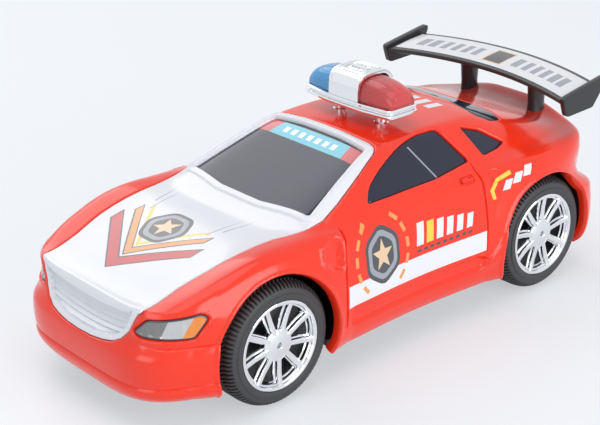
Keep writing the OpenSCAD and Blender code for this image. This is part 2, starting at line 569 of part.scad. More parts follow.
// Rear wing: bowed blade, two end plates and two posts in one moulding
module blade_cut(y) {
  t = abs(y)/(wing_w/2);
  translate([(-72.2+6.6*t*t)*kx, y, (62.1-1.2*t*t)*kz]) rotate([90, 0, 0]) translate([0, 0, -0.05])
    linear_extrude(0.1)
    polygon([[-16*kx, blade_rise-0.2], [-16.2*kx, blade_rise-blade_t*0.5],
      [-9*kx, 0.2*blade_rise-blade_t*0.4], [-1, -blade_t*0.6],
      [0, -blade_t*0.4], [0.2, 0], [-0.6, blade_t*0.3], [-8*kx, blade_rise*0.45+blade_t*0.3]]);
}
module rear_wing() color("black") {
  n = 16;
  for (i = [0:n-1]) hull() for (k = [i, i+1]) blade_cut(mix(-wing_w/2+1, wing_w/2-1, k/n));
  for (s = [-1, 1]) {
    translate([0, s*(wing_w/2-1)+1, 0]) rotate([90, 0, 0]) linear_extrude(2)
      polygon([for (p = [[-65, 62.6], [-65.2, 61],
      [-66.6, 56.8], [-67.6, 56.2], [-79.4, 56.6], [-85.4, 63.8], [-85.6, 65.4], [-84.6, 65.8]])
      [p[0]*kx, p[1]*kz]]);
    difference() {
      translate([post_x, s*post_gap/2, 48*kz]) cylinder(r1 = 2.6, r2 = 3.3, h = 14.4*kz, $fn = 24);
      lower(-0.06);
    }
    translate([post_x, s*post_gap/2, 47*kz]) cylinder(r = 2, h = 6*kz, $fn = 24);
  }
}

body_shell();
bonnet_panel();
window_insert();
headlight(1);  // headlight_left
headlight(-1);  // headlight_right
tail_lamp(1);  // tail_lamp_left
tail_lamp(-1);  // tail_lamp_right
chassis_pan();
front_axle_clip();
chassis_screws();
gearbox_screws();
clip_screws();
gearbox_case();
gearbox_cover();
idler_shaft();
lightbar_base();
lightbar_cover();
blue_lens();
red_lens();
rear_wing();
front_axle();
rim(front_x, 1);  // rim_front_left
rim(front_x, -1);  // rim_front_right
tyre(front_x, 1);  // tyre_front_left
tyre(front_x, -1);  // tyre_front_right
rear_axle();
rim(rear_x, 1);  // rim_rear_left
rim(rear_x, -1);  // rim_rear_right
tyre(rear_x, 1);  // tyre_rear_left
tyre(rear_x, -1);  // tyre_rear_right
axle_gear();
idler_gear();
flywheel();
flywheel_shaft();
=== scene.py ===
import math
import bpy
import numpy as np
from mathutils import Matrix, Vector


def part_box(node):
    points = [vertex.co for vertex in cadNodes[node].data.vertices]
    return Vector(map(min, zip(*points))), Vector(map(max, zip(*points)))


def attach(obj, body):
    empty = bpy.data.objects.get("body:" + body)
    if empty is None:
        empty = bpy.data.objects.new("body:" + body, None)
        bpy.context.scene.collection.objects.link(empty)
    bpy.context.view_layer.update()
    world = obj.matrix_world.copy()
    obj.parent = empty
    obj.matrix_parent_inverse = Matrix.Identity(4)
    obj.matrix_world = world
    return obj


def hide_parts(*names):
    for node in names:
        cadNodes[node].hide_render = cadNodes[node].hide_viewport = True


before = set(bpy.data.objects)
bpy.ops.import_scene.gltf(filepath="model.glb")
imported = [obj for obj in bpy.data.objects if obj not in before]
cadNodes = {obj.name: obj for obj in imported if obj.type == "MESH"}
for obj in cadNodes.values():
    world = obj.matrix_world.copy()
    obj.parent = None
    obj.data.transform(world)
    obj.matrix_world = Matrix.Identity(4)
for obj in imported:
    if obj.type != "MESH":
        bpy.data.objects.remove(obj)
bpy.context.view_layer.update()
mm = 0.001
farAway = 9.0  # a field's value where its outline isn't near
cutReach, cutSnap = 8.0, 0.012  # a cut leaves points further off alone and snaps to nearer ones


# Shader maths: a socket that can be used in plain expressions

class Wire:
    def __init__(self, tree, socket):
        self.tree, self.socket = tree, socket

    def calc(self, operation, *values):
        return addNode(self.tree, "ShaderNodeMath", {"operation": operation}, dict(enumerate(values)))

    def __add__(self, other): return self.calc("ADD", self, other)
    def __mul__(self, other): return self.calc("MULTIPLY", self, other)
    def __gt__(self, other): return self.calc("GREATER_THAN", self, other)
    def __lt__(self, other): return self.calc("LESS_THAN", self, other)
    __radd__, __rmul__ = __add__, __mul__


def addNode(tree, kind, settings=None, sockets=None, out=0):
    node = tree.nodes.new(kind)
    for name, value in (settings or {}).items():
        setattr(node, name, value)
    for name, value in (sockets or {}).items():
        if isinstance(value, Wire):
            tree.links.new(value.socket, node.inputs[name])
        else:
            node.inputs[name].default_value = value
    return Wire(tree, node.outputs[out])


def rgba(colour): return (*colour, 1.0)


def newFinish(name, colour, fixed=None):
    material = bpy.data.materials.new(name)
    material.use_nodes = True
    tree = material.node_tree
    shader = tree.nodes["Principled BSDF"]
    shader.inputs["Base Color"].default_value = rgba(colour)
    for socket, value in (fixed or {}).items():
        shader.inputs[socket].default_value = value
    return material, tree, shader


def noiseOf(tree, scale, detail=2.0):
    place = addNode(tree, "ShaderNodeTexCoord", out="Object")
    return addNode(tree, "ShaderNodeTexNoise", None, {"Vector": place, "Scale": scale, "Detail": detail})


# One moulded finish: slight colour drift, uneven polish and a fine ripple in the surface
def mouldedFinish(name, colour, shade, rough, fixed=None, ripple=0.02, grain=900, patch=55, spread=0.06):
    material, tree, shader = newFinish(name, colour, fixed)
    drift = addNode(tree, "ShaderNodeMix", {"data_type": "RGBA"},
                    {"Factor": noiseOf(tree, patch, 3.0), 6: rgba(colour), 7: rgba(shade)}, 2)
    polish = noiseOf(tree, patch * 4, 4.0) * (2 * spread) + (rough - spread)
    bump = addNode(tree, "ShaderNodeBump", None,
                   {"Strength": ripple, "Distance": 0.0004, "Height": noiseOf(tree, grain)})
    for wire, socket in ((drift, "Base Color"), (polish, "Roughness"), (bump, "Normal")):
        tree.links.new(wire.socket, shader.inputs[socket])
    return material


# Each row holds the values of mouldedFinish in their order
inkCoat, lampCoat, metal = {"Coat Weight": 0.4}, {"Coat Weight": 1.0}, {"Metallic": 1.0}
finishForm = {
    "red": ("RedPlastic", (0.92, 0.036, 0.010), (0.87, 0.030, 0.008), 0.17,
            {"Coat Weight": 0.2, "Coat Roughness": 0.05, "Specular IOR Level": 0.4}),
    "white": ("WhitePlastic", (0.80, 0.815, 0.86), (0.77, 0.785, 0.84), 0.22,
              {"Coat Weight": 0.3, "Coat Roughness": 0.08}),
    "glass": ("DarkGlazing", (0.006, 0.008, 0.026), (0.010, 0.013, 0.040), 0.07, None, 0.03, 500),
    "black": ("BlackPlastic", (0.018, 0.018, 0.020), (0.026, 0.026, 0.028), 0.32, None, 0.05, 1400),
    "chassis": ("ChassisPlastic", (0.014, 0.014, 0.015), (0.022, 0.022, 0.023), 0.48, None, 0.12, 1600),
    "tyre": ("TyreRubber", (0.030, 0.031, 0.034), (0.048, 0.049, 0.053), 0.55, None, 0.15, 1500),
    "chrome": ("PlatedPlastic", (0.84, 0.85, 0.87), (0.78, 0.79, 0.82), 0.06, metal, 0.02, 700, 90, 0.03),
    "steel": ("BrightSteel", (0.60, 0.60, 0.61), (0.50, 0.50, 0.51), 0.28, metal, 0.05, 1800),
    "iron": ("FlywheelIron", (0.22, 0.22, 0.23), (0.15, 0.15, 0.155), 0.46, metal, 0.12, 1400),
    "gearbox": ("GearboxPlastic", (0.66, 0.66, 0.63), (0.60, 0.60, 0.58), 0.42, None, 0.06, 1400),
    "inkWhite": ("PrintWhite", (0.84, 0.85, 0.88), (0.80, 0.81, 0.85), 0.20, inkCoat),
    "inkYellow": ("PrintYellow", (0.88, 0.66, 0.06), (0.84, 0.60, 0.05), 0.20, inkCoat),
    "inkOrange": ("PrintOrange", (0.86, 0.36, 0.10), (0.80, 0.30, 0.08), 0.20, inkCoat),
    "inkRed": ("PrintRed", (0.62, 0.05, 0.06), (0.56, 0.04, 0.05), 0.20, inkCoat),
    "inkDark": ("PrintDark", (0.055, 0.056, 0.066), (0.075, 0.076, 0.088), 0.22, inkCoat),
    "inkGrey": ("PrintGrey", (0.36, 0.38, 0.43), (0.31, 0.33, 0.38), 0.22, inkCoat),
    "inkCream": ("PrintCream", (0.84, 0.62, 0.40), (0.78, 0.55, 0.34), 0.22, inkCoat),
    "inkCyan": ("PrintCyan", (0.10, 0.55, 0.70), (0.08, 0.49, 0.64), 0.20, inkCoat),
    "silver": ("LampSilver", (0.62, 0.62, 0.62), (0.50, 0.50, 0.50), 0.16,
               {"Metallic": 0.9, "Coat Weight": 1.0}, 0.3, 420),
    "lampGrey": ("LampGrey", (0.20, 0.20, 0.20), (0.14, 0.14, 0.14), 0.18, lampCoat, 0.1, 420),
    "amber": ("LampAmber", (0.86, 0.28, 0.02), (0.70, 0.18, 0.01), 0.14, lampCoat, 0.25, 420),
    "tail": ("TailRed", (0.46, 0.010, 0.012), (0.36, 0.006, 0.008), 0.14, lampCoat, 0.2, 420),
    "redLens": ("RedLens", (1.0, 0.21, 0.22), (0.99, 0.17, 0.18), 0.03,
                {"Transmission Weight": 0.68, "IOR": 1.45}, 0.03, 500, 55, 0.02),
    "blueLens": ("BlueLens", (0.20, 0.60, 0.94), (0.16, 0.54, 0.90), 0.09,
                 {"Transmission Weight": 0.55, "IOR": 1.4}, 0.04, 500),
    "gear": ("GearPlastic", (0.82, 0.79, 0.68), (0.76, 0.72, 0.61), 0.38, None, 0.05, 1400),
}
finish = {key: mouldedFinish(*row) for key, row in finishForm.items()}
inkOrder = [key for key in finish if key.startswith("ink")]
print("finishes:", len(finish))


# Curves and outlines, in millimetres

def ease(start, end, x):
    t = np.clip((x - start) / (end - start), 0, 1)
    return t * t * (3 - 2 * t)


def inside(start, end, x): return 1 - ease(start, end, x)


def ridge(rise, top, fall, end, x): return ease(rise, top, x) * inside(fall, end, x)


def mix(a, b, t): return a + (b - a) * t


def softMax(a, b, reach):
    h = np.clip(0.5 + 0.5 * (a - b) / reach, 0, 1)
    return mix(b, a, h) + reach * h * (1 - h)


def curveThrough(points, x):
    px, py = np.array(points, float).T
    step, rise = np.diff(px), np.diff(py) / np.diff(px)
    tilt = np.concatenate([rise[:1], np.zeros(len(rise) - 1), rise[-1:]])
    before, after = rise[:-1], rise[1:]
    same = before * after > 0
    tilt[1:-1][same] = (2 * before * after)[same] / (before + after)[same]
    x = np.clip(x, px[0], px[-1])
    i = np.clip(np.searchsorted(px, x, side="right") - 1, 0, len(step) - 1)
    t, h = (x - px[i]) / step[i], step[i]
    return ((1 + 2 * t) * (1 - t) ** 2 * py[i] + t * (1 - t) ** 2 * h * tilt[i]
            + t * t * (3 - 2 * t) * py[i + 1] + t * t * (t - 1) * h * tilt[i + 1])


def stretches(line, a, b):
    # each stretch of the line, with the squared distance of the points a, b from it
    for p, q in zip(line[:-1], line[1:]):
        e = q - p
        t = np.clip(((a - p[0]) * e[0] + (b - p[1]) * e[1]) / max(e @ e, 1e-12), 0, 1)
        yield p, q, (a - p[0] - t * e[0]) ** 2 + (b - p[1] - t * e[1]) ** 2


def outlineDistance(outline, a, b, reach=6.0):
    # negative inside the closed outline; further out than reach only the distance to its box
    ring = np.array([*outline, outline[0]], float)
    low, high = ring.min(0), ring.max(0)
    made = np.maximum(np.maximum(low[0] - a, a - high[0]), np.maximum(low[1] - b, b - high[1]))
    near = made < reach
    a, b = a[near], b[near]
    best, within = np.full(len(a), 1e9), np.zeros(len(a), bool)
    for p, q, away in stretches(ring, a, b):
        best = np.minimum(best, away)
        if p[1] != q[1]:
            within ^= ((p[1] <= b) != (q[1] <= b)) & (a < p[0] + (b - p[1]) * (q[0] - p[0]) / (q[1] - p[1]))
    made[near] = np.where(within, -1, 1) * np.sqrt(best)
    return made


def lineSide(line, a, b):
    # distance to the line, negative on its right hand
    best, side = np.full(np.shape(a), 1e9), np.ones(np.shape(a))
    for p, q, away in stretches(np.array(line, float), a, b):
        turn = (q[0] - p[0]) * (b - p[1]) - (q[1] - p[1]) * (a - p[0])
        side = np.where(away < best, np.sign(turn), side)
        best = np.minimum(best, away)
    return side * np.sqrt(best)


def rounded(outline, radius, steps=5):
    ring, made = np.array(outline, float), []
    for p, q, r in zip(np.roll(ring, 1, 0), ring, np.roll(ring, -1, 0)):
        u, v = p - q, r - q
        a = q + u * min(0.48, radius / np.linalg.norm(u))
        b = q + v * min(0.48, radius / np.linalg.norm(v))
        for t in np.linspace(0, 1, steps):
            made.append((1 - t) ** 2 * a + 2 * t * (1 - t) * q + t * t * b)
    return made


def bothSides(half): return [tuple(p) for p in half] + [(x, -y) for x, y in reversed(half)]


def circle(steps): return np.linspace(0, 2 * math.pi, steps, endpoint=False)


# Outer form of the body: flank rings by height, then inward over deck and cabin

bodyForm = {
    # height, front, back, half width, and how square the front and back corners are
    "flank": [(8, 86.4, 85, 36.6, 4.5, 8), (9.6, 88.4, 87, 37.6, 4.5, 8), (11.5, 89.3, 88.8, 38.7, 5, 10),
              (15, 89.8, 89.7, 39.4, 5, 11), (19, 90, 90, 39.6, 5, 11), (22.5, 89.8, 90, 39.6, 5, 11),
              (24.2, 89, 90, 39.5, 5, 11), (25.6, 88, 89.9, 39.4, 4.8, 11), (29, 86.7, 89.6, 39.2, 5, 11),
              (30.8, 86.1, 86.8, 39, 5.2, 8), (35, 84.5, 86.4, 38.4, 5.4, 7), (40, 81, 86.8, 37.2, 5.4, 7),
              (46, 75, 88, 35.2, 5.4, 7), (52, 68, 89, 33, 5.4, 7)],
    "deckMiddle": [(-90, 50.8), (-86.5, 51.6), (-82, 50.3), (-72, 50), (-40, 48.5), (0, 46.5), (23, 44.8), (44, 44),
                   (54, 42.9), (64, 41), (74, 38.2), (84.6, 34.5), (90, 32.6)],
    "deckSide": [(-90, 45.6), (-84, 46.4), (-60, 46.8), (-30, 46), (0, 45.4), (26, 44.5), (36, 44.8), (45, 45.1),
                 (54, 44.5), (62, 42.8), (68, 41), (74, 39), (84, 35.2), (90, 32)],
    "bottom": 9.8, "waist": (1.5, -6, 36), "haunch": 2.2, "wall": 1.6, "gather": 0.44,
    "edge": (5.6, 3.6, 2.4),  # radius of the deck's edge in the middle, at the nose and at the tail
    "around": 480, "flankRows": 46, "deckRows": 48,
    "edgeRows": (0.1, 0.3, 0.6, 1.0, 1.5, 2.1, 2.8, 3.6, 4.5, 5.6, 6.8, 8.0),
}
cabinForm = {
    "roof": 59.8, "crown": (0.0011, 0.0026), "crownMiddle": -22, "range": (36.0, 60.0),
    "screenTop": (2.0, 58.2), "screenSlope": 0.386, "rearTop": (-50.5, 57.5), "rearSlope": 0.32, "rearRun": 36,
    "half": 33.4, "shoulder": (34.2, 45), "tumble": 0.9, "frontPower": (6.0, 9), "backPower": 4.5,
}


def rimPoint(front, back, half, frontPower, backPower, angle):
    c, s = np.cos(angle), np.sin(angle)
    px, py = np.sign(c) * np.abs(c) ** 0.83, np.sign(s) * np.abs(s) ** 0.83
    p = np.where(c > 0, frontPower, backPower)
    k = (np.abs(px) ** p + np.abs(py) ** p) ** (-1 / p)
    return (front + back) / 2 + (front - back) / 2 * px * k, half * py * k


def flankPoint(z, angle):
    rows = np.array(bodyForm["flank"])
    front, back, half, frontPower, backPower = [curveThrough(rows[:, [0, k]], z) for k in range(1, 6)]
    x, y = rimPoint(front, -back, half, frontPower, backPower, angle)
    depth, middle, reach = bodyForm["waist"]
    t = (x - middle) / reach
    pinch = np.where(np.abs(t) < 1, depth * (1 - t * t) ** 2, 0)
    pinch = pinch - bodyForm["haunch"] * ease(-28, -58, x) * ease(34, 43, z)
    return x, y - np.sign(y) * pinch * ease(15, 30, np.abs(y))


def deckHeight(x, y):
    return mix(curveThrough(bodyForm["deckMiddle"], x), curveThrough(bodyForm["deckSide"], x),
               ease(mix(5, 20, ease(-50, 10, x)), 34, np.abs(y)))


def edgeRadius(x):
    middle, nose, tail = bodyForm["edge"]
    return np.where(x > 0, mix(middle, nose, ease(64, 85, x)), mix(middle, tail, ease(66, 84, -x)))


def edgeFall(d, r):
    return np.where(d >= r, 0, r - np.sqrt(np.maximum(0, r * r - (r - np.minimum(d, r)) ** 2)))


def cabinHeight(x, y):
    # the highest level whose rounded plan still holds the point, under a crowned roof
    form = cabinForm
    low, high = (np.full(np.shape(x), z) for z in form["range"])
    for _ in range(24):
        q = (low + high) / 2
        front = form["screenTop"][0] + (form["screenTop"][1] - q) / form["screenSlope"]
        back = form["rearTop"][0] - np.minimum(form["rearRun"], (form["rearTop"][1] - q) / form["rearSlope"])
        half = np.minimum(form["half"], form["shoulder"][0] - form["tumble"] * (q - form["shoulder"][1]))
        a = (x - (front + back) / 2) / ((front - back) / 2)
        p = np.where(a > 0, mix(*form["frontPower"], ease(45, 57, q)), form["backPower"])
        held = np.abs(a) ** p + np.abs(y / half) ** p < 1
        low, high = np.where(held, q, low), np.where(held, high, q)
    roof = form["roof"] - form["crown"][1] * y * y - form["crown"][0] * (x - form["crownMiddle"]) ** 2
    return -softMax(-low, -roof, 1.5)


def bodyGrid():
    form, n = bodyForm, bodyForm["around"]
    angle = (np.arange(n) + 0.5) * 2 * math.pi / n
    x, y = flankPoint(np.full(n, 38.0), angle)
    for _ in range(4):  # the flank's top settles under the deck's edge
        top = deckHeight(x, y) - edgeRadius(x)
        x, y = flankPoint(top, angle)
    rows = []
    for t in np.linspace(0, 1, form["flankRows"]):
        z = mix(form["bottom"], top, t)
        rows.append(np.stack([*flankPoint(z, angle), z], 1))
    radius, length = edgeRadius(x), np.hypot(form["gather"] * x, y)
    depths = [np.full(n, d) for d in form["edgeRows"]]
    depths += [mix(form["edgeRows"][-1], length, (k + 1) / form["deckRows"]) for k in range(form["deckRows"])]
    for d in depths:
        share = np.minimum(d / length, 1)
        qx, qy = x - form["gather"] * x * share, y * (1 - share)
        z = deckHeight(qx, qy) - edgeFall(d, radius)
        rows.append(np.stack([qx, qy, softMax(z, cabinHeight(qx, qy), 1.3)], 1))
    grid = np.array(rows)
    for _ in range(3):  # moulded edges are never quite sharp
        grid[1:-1] = grid[1:-1] / 2 + (grid[:-2] + grid[2:]) / 4
        grid = grid / 2 + (np.roll(grid, 1, 1) + np.roll(grid, -1, 1)) / 4
    return grid


def gridNormals(grid):
    along = np.roll(grid, -1, 1) - np.roll(grid, 1, 1)
    across = np.gradient(grid, axis=0)
    normal = np.cross(along, across)
    return normal / np.maximum(np.linalg.norm(normal, axis=2, keepdims=True), 1e-9)


def sampleGrid(grid, uv):
    # smooth value between the grid's points
    rows, n = grid.shape[:2]
    i = np.clip(np.floor(uv[:, 0]).astype(int), 0, rows - 2)
    j = np.floor(uv[:, 1]).astype(int)

    def weights(t):
        return [((2 - t) * t - 1) * t / 2, (t * t * (3 * t - 5) + 2) / 2,
                ((4 - 3 * t) * t + 1) * t / 2, (t - 1) * t * t / 2]
    wi, wj = weights(uv[:, 0] - i), weights(uv[:, 1] - j)
    total = 0
    for a in range(4):
        for b in range(4):
            total = total + (wi[a] * wj[b])[:, None] * grid[np.clip(i + a - 1, 0, rows - 1), (j + b - 1) % n]
    return total


skin = bodyGrid()
skinNormal = gridNormals(skin)
print("body grid:", skin.shape[:2])


# A sheet has grid places, triangles between them, a finish number for each triangle and the points in space

def fullSheet():
    rows, n = skin.shape[:2]
    i, j = np.meshgrid(np.arange(rows), np.arange(n + 1), indexing="ij")
    uv = np.stack([i.ravel(), j.ravel()], 1).astype(float)
    a = (np.arange(rows - 1)[:, None] * (n + 1) + np.arange(n)).ravel()
    tri = np.concatenate([np.stack([a, a + 1, a + n + 2], 1), np.stack([a, a + n + 2, a + n + 1], 1)])
    return uv, tri, np.zeros(len(tri), int), sampleGrid(skin, uv)


def cutSheet(sheet, field):
    # splits the triangles where the field changes sign
    uv, tri, tag, spot = sheet
    side = np.where(np.abs(field) < cutSnap, 0, np.where(np.abs(field) > cutReach, 2, np.sign(field)))
    active = (side[tri] == 1).any(1) & (side[tri] == -1).any(1)
    if not active.any():
        return sheet
    some, mark = tri[active], tag[active]
    edge = np.concatenate([some[:, [0, 1]], some[:, [1, 2]], some[:, [2, 0]]])
    crossing = side[edge[:, 0]] * side[edge[:, 1]] == -1
    pair, place = np.unique(np.sort(edge[crossing], 1), axis=0, return_inverse=True)
    t = field[pair[:, 0]] / (field[pair[:, 0]] - field[pair[:, 1]])
    fresh = uv[pair[:, 0]] + (uv[pair[:, 1]] - uv[pair[:, 0]]) * t[:, None]
    middle = np.full(len(edge), -1)
    middle[crossing] = len(uv) + place.ravel()
    middle = middle.reshape(3, -1).T
    many = (middle >= 0).sum(1)
    made, marks = [some[many == 0]], [mark[many == 0]]
    for number, first in ((1, (middle >= 0).argmax(1)), (2, (middle >= 0).argmin(1))):
        pick = many == number
        corner, point, k, ids = some[pick], middle[pick], first[pick], np.arange(pick.sum())
        a, b, c = corner[ids, k], corner[ids, (k + 1) % 3], corner[ids, (k + 2) % 3]
        if number == 1:
            m = point[ids, k]
            made += [np.stack([a, m, c], 1), np.stack([m, b, c], 1)]
        else:
            bc, ca = point[ids, (k + 1) % 3], point[ids, (k + 2) % 3]
            made += [np.stack([c, ca, bc], 1), np.stack([ca, a, b], 1), np.stack([ca, b, bc], 1)]
        marks += [mark[pick]] * (number + 1)
    return (np.concatenate([uv, fresh]), np.concatenate([tri[~active], *made]),
            np.concatenate([tag[~active], *marks]), np.concatenate([spot, sampleGrid(skin, fresh)]))


def keepFaces(sheet, keep):
    uv, tri, tag, spot = sheet
    used, back = np.unique(tri[keep], return_inverse=True)
    return uv[used], back.reshape(-1, 3), tag[keep], spot[used]


wholeSheet = fullSheet()
borderLevels = (0.7, 0.4, 0.18, 0.05, 0.0)  # cuts inside a piece's border, so that its lip is round


def addPiece(name, points, faces, finishes, body, tags, sharp, replaces, slot):
    mesh = bpy.data.meshes.new(name)
    mesh.from_pydata((np.asarray(points) * mm).tolist(), [], faces)
    for f in finishes:
        mesh.materials.append(f)
    if tags is not None:
        mesh.polygons.foreach_set("material_index", np.asarray(tags, np.int32))
    mesh.polygons.foreach_set("use_smooth", np.ones(len(mesh.polygons), bool))
    mesh.update()
    mesh.set_sharp_from_angle(angle=math.radians(sharp))
    piece = bpy.data.objects.new(name, mesh)
    bpy.context.scene.collection.objects.link(piece)
    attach(piece, body)
    if replaces:
        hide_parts(*replaces)


def closeSheet(outer, inner, tri, tag, innerShade=None):
    # joins an outer and an inner skin along their open edges
    _, first, where = np.unique(np.round(outer, 3), axis=0, return_index=True, return_inverse=True)
    tri = where.ravel()[tri]
    good = (tri[:, 0] != tri[:, 1]) & (tri[:, 1] != tri[:, 2]) & (tri[:, 0] != tri[:, 2])
    tri, tag = tri[good], tag[good]
    outer, inner = outer[first], inner[first]
    edge = np.concatenate([tri[:, [0, 1]], tri[:, [1, 2]], tri[:, [2, 0]]])
    _, place, count = np.unique(np.sort(edge, 1), axis=0, return_inverse=True, return_counts=True)
    n = len(outer)
    a, b = edge[count[place.ravel()] == 1].T
    faces = tri.tolist() + (tri[:, ::-1] + n).tolist() + np.stack([b, a, a + n, b + n], 1).tolist()
    # the inner faces can take a finish from the given function, which paints shade inside the wheel arches
    innerTags = np.zeros(len(tri), int) if innerShade is None else innerShade(inner[tri].mean(1))
    return np.concatenate([outer, inner]), faces, np.concatenate([tag, innerTags, np.zeros(len(a), int)])


def mouldSheet(field, cuts, prints):
    # field is the distance to the piece's border, positive inside it
    sheet = keepFaces(wholeSheet, field(wholeSheet[3])[wholeSheet[1]].max(1) > -3)
    for level in borderLevels:
        sheet = cutSheet(sheet, field(sheet[3]) - level)
    sheet = keepFaces(sheet, field(sheet[3][sheet[1]].mean(1)) > 0)
    for shape, levels in cuts:
        for level in levels:
            sheet = cutSheet(sheet, shape(sheet[3]) - level)
    for number, shape in prints:
        for edge in getattr(shape, "edges", [shape]):
            sheet = cutSheet(sheet, edge(sheet[3]))
        uv, tri, tag, spot = sheet
        sheet = uv, tri, np.where(shape(spot[tri].mean(1)) < 0, number, tag), spot
    return sheet


def raiseSheet(sheet, height):
    n = sampleGrid(skinNormal, sheet[0])
    n /= np.linalg.norm(n, axis=1, keepdims=True)
    return sheet[3] + n * np.asarray(height)[:, None]


def lipFall(d, r=0.6): return -edgeFall(np.maximum(d, 0), r)


def buildSheet(name, field, relief, wall, kinds, sharp, nodes, slot, cuts=(), prints=(), innerShade=None):
    sheet = mouldSheet(field, cuts, prints)
    p = sheet[3]
    outer, inner = raiseSheet(sheet, relief(p)), raiseSheet(sheet, np.full(len(p), -wall))
    points, faces, tags = closeSheet(outer, inner, sheet[1], sheet[2], innerShade)
    addPiece(name, points, faces, [finish[kind] for kind in kinds], "car", tags, sharp, nodes, slot)
    print(name + ":", len(faces), "faces")


# Openings in the skin, each a distance that is negative inside the opening

openings = {
    "door": rounded([(10.0, 47.2), (8.4, 49.2), (6.3, 50.8), (2.8, 52.5), (-1, 54.0), (-4.8, 55.35), (-8.5, 56.5),
                     (-12, 57.35), (-15.5, 57.95), (-20, 58.4), (-27.0, 58.2), (-33.0, 48.7), (-18, 47.4)], 0.9),
    "quarter": rounded([(-36.2, 56.8), (-43.2, 54.6), (-50.2, 49.9), (-46, 49.1), (-39.4, 48.7)], 0.6),
    "rear": rounded(bothSides([(-48.8, 7), (-46.6, 14), (-46.0, 20.2), (-50, 23.0), (-55.6, 22.8), (-57.2, 17),
                               (-57.8, 7)]), 1.2),
    "screen": rounded(bothSides([(-0.3, 9), (0.5, 20.1), (14.7, 23.2), (28.0, 26.4), (29.0, 19.6),
                                 (30.7, 9)]), 0.8),
    "panelPlan": bothSides([(99, 24.8), (84, 23.9), (72.6, 24.2), (63.3, 25.8), (52, 26.6), (42, 27.2), (36, 28.4),
                            (31, 29.4), (25.6, 29.9), (19, 28.6), (12.3, 26.8), (7.5, 25.4), (-1.0, 22.6),
                            (-2.8, 20.8), (-3.4, 18)]),
    "panelNose": [(0, 23.3), (5.7, 23.5), (10, 24.0), (14.5, 24.9), (17.3, 26.2), (19.8, 28.9), (21.2, 31.8),
                  (22.4, 34.2), (23.8, 35.2), (60, 38), (60, 80)],
    "head": rounded([(-11.2, 29.3), (-7.2, 33.5), (7.8, 34.9), (9.8, 33.3), (5.8, 28.1), (-9.4, 28.3)], 1.1),
    "tail": rounded([(-9.4, 35), (-9.4, 41), (7.6, 42.6), (9.4, 40.6), (8, 35)], 1.4),
    "headAt": (78.5, 29.5, 48.6), "tailAt": (-85.4, 22.4, 180),  # x, y and turn of each lamp's face
    "axles": (49.5, -60.0), "axleHeight": 18.45, "archRadius": 20.35, "seam": 0.07,
}
noseRing = openings["panelNose"] + [(-y, z) for y, z in reversed(openings["panelNose"][1:])]


def outlineField(outline, a, b, near):
    # distance to an outline over the axes a and b, on the part of the skin that near picks
    return lambda p: np.where(near(p), outlineDistance(outline, p[:, a], p[:, b]), farAway)


doorField = outlineField(openings["door"], 0, 2, lambda p: (p[:, 2] > 44) & (np.abs(p[:, 1]) > 12))
quarterField = outlineField(openings["quarter"], 0, 2, lambda p: (p[:, 2] > 44) & (np.abs(p[:, 1]) > 18))
rearField = outlineField(openings["rear"], 0, 1, lambda p: p[:, 2] > 44)
screenField = outlineField(openings["screen"], 0, 1, lambda p: p[:, 2] > 40)


def panelField(p):
    plan = outlineDistance(openings["panelPlan"], p[:, 0], p[:, 1])
    return np.maximum(plan, np.where(p[:, 0] > 60, outlineDistance(noseRing, p[:, 1], p[:, 2]), -farAway))


def lampPlace(at, p):
    turn = math.radians(at[2])
    dx, dy = p[:, 0] - at[0], np.abs(p[:, 1]) - at[1]
    return dy * math.cos(turn) - dx * math.sin(turn), dx * math.cos(turn) + dy * math.sin(turn)


def lampField(outline, at, depth, near):
    def field(p):
        t, ahead = lampPlace(at, p)
        return np.where((ahead > depth) & near(p), outlineDistance(outline, t, p[:, 2]), farAway)
    return field


headField = lampField(openings["head"], openings["headAt"], -9, lambda p: p[:, 0] > 55)
tailField = lampField(openings["tail"], openings["tailAt"], -4, lambda p: p[:, 0] < -75)


def archField(p):
    away = [np.hypot(p[:, 0] - x, p[:, 2] - openings["axleHeight"]) for x in openings["axles"]]
    return np.where(np.abs(p[:, 1]) > 20, np.minimum(*away) - openings["archRadius"], farAway)


def shellField(p):
    holes = [field(p) for field in (doorField, quarterField, rearField, headField, tailField, archField)]
    return np.minimum.reduce([panelField(p) - openings["seam"], *holes])


# Red shell: shut lines, sill channel, scoops, flares and bumper lines

shellForm = {
    "shutLines": [[(23.2, 44.0), (24.4, 36), (25.6, 24), (25.9, 16.6)],
                  [(-32.8, 47.6), (-33.4, 40), (-33.5, 30), (-33.1, 21.4)]],
    "sill": rounded([(24.2, 20.7), (-30.4, 20.5), (-34.4, 18.6), (-31.4, 15.5), (23.4, 15.3)], 1.5),
    "scoop": rounded([(24.8, 43.0), (29.4, 43.0), (32.0, 41.2), (32.4, 38.4), (30.8, 35.6), (27.6, 33.8),
                      (25.4, 34.2)], 2),
    "flap": rounded([(-36.6, 45.4), (-40.4, 45.2), (-40.2, 41.6), (-36.8, 41.8)], 0.8),
    "handle": [(-25.4, 45.4), (-30.8, 45.6), (-30.8, 43.7), (-25.4, 43.5)],
    "grip": [(-25.9, 44.95), (-30.3, 45.1), (-30.3, 44.2), (-25.9, 44.05)],
    "plate": rounded([(-14, 17.5), (14, 17.5), (14, 25.5), (-14, 25.5)], 1.2),
    "chin": (14.2, 0.02), "ledge": (26.0, 0.03), "haunchAt": (-33.2, 17.9), "haunchLean": (-11.9, -10.4),
    # depths and heights of the relief
    "shutDepth": 0.6, "sillDepth": 1.1, "scoopDepth": (0.25, 0.95), "scoopLip": 0.3, "flapDepth": 0.3,
    "handleDepth": 0.45, "gripRise": 0.9, "plateDepth": 0.5, "chinDepth": 0.45, "chinLip": 0.3, "ledgeDepth": 0.35,
    "flare": 1.1, "flareReach": 7, "archLip": 0.3, "haunchRise": 0.7, "lampLip": 0.3,
}


def onFlank(p): return (np.abs(p[:, 1]) > 28) & (p[:, 2] < 48.5)


def onSide(p, value, other=farAway): return np.where(onFlank(p), value, other)


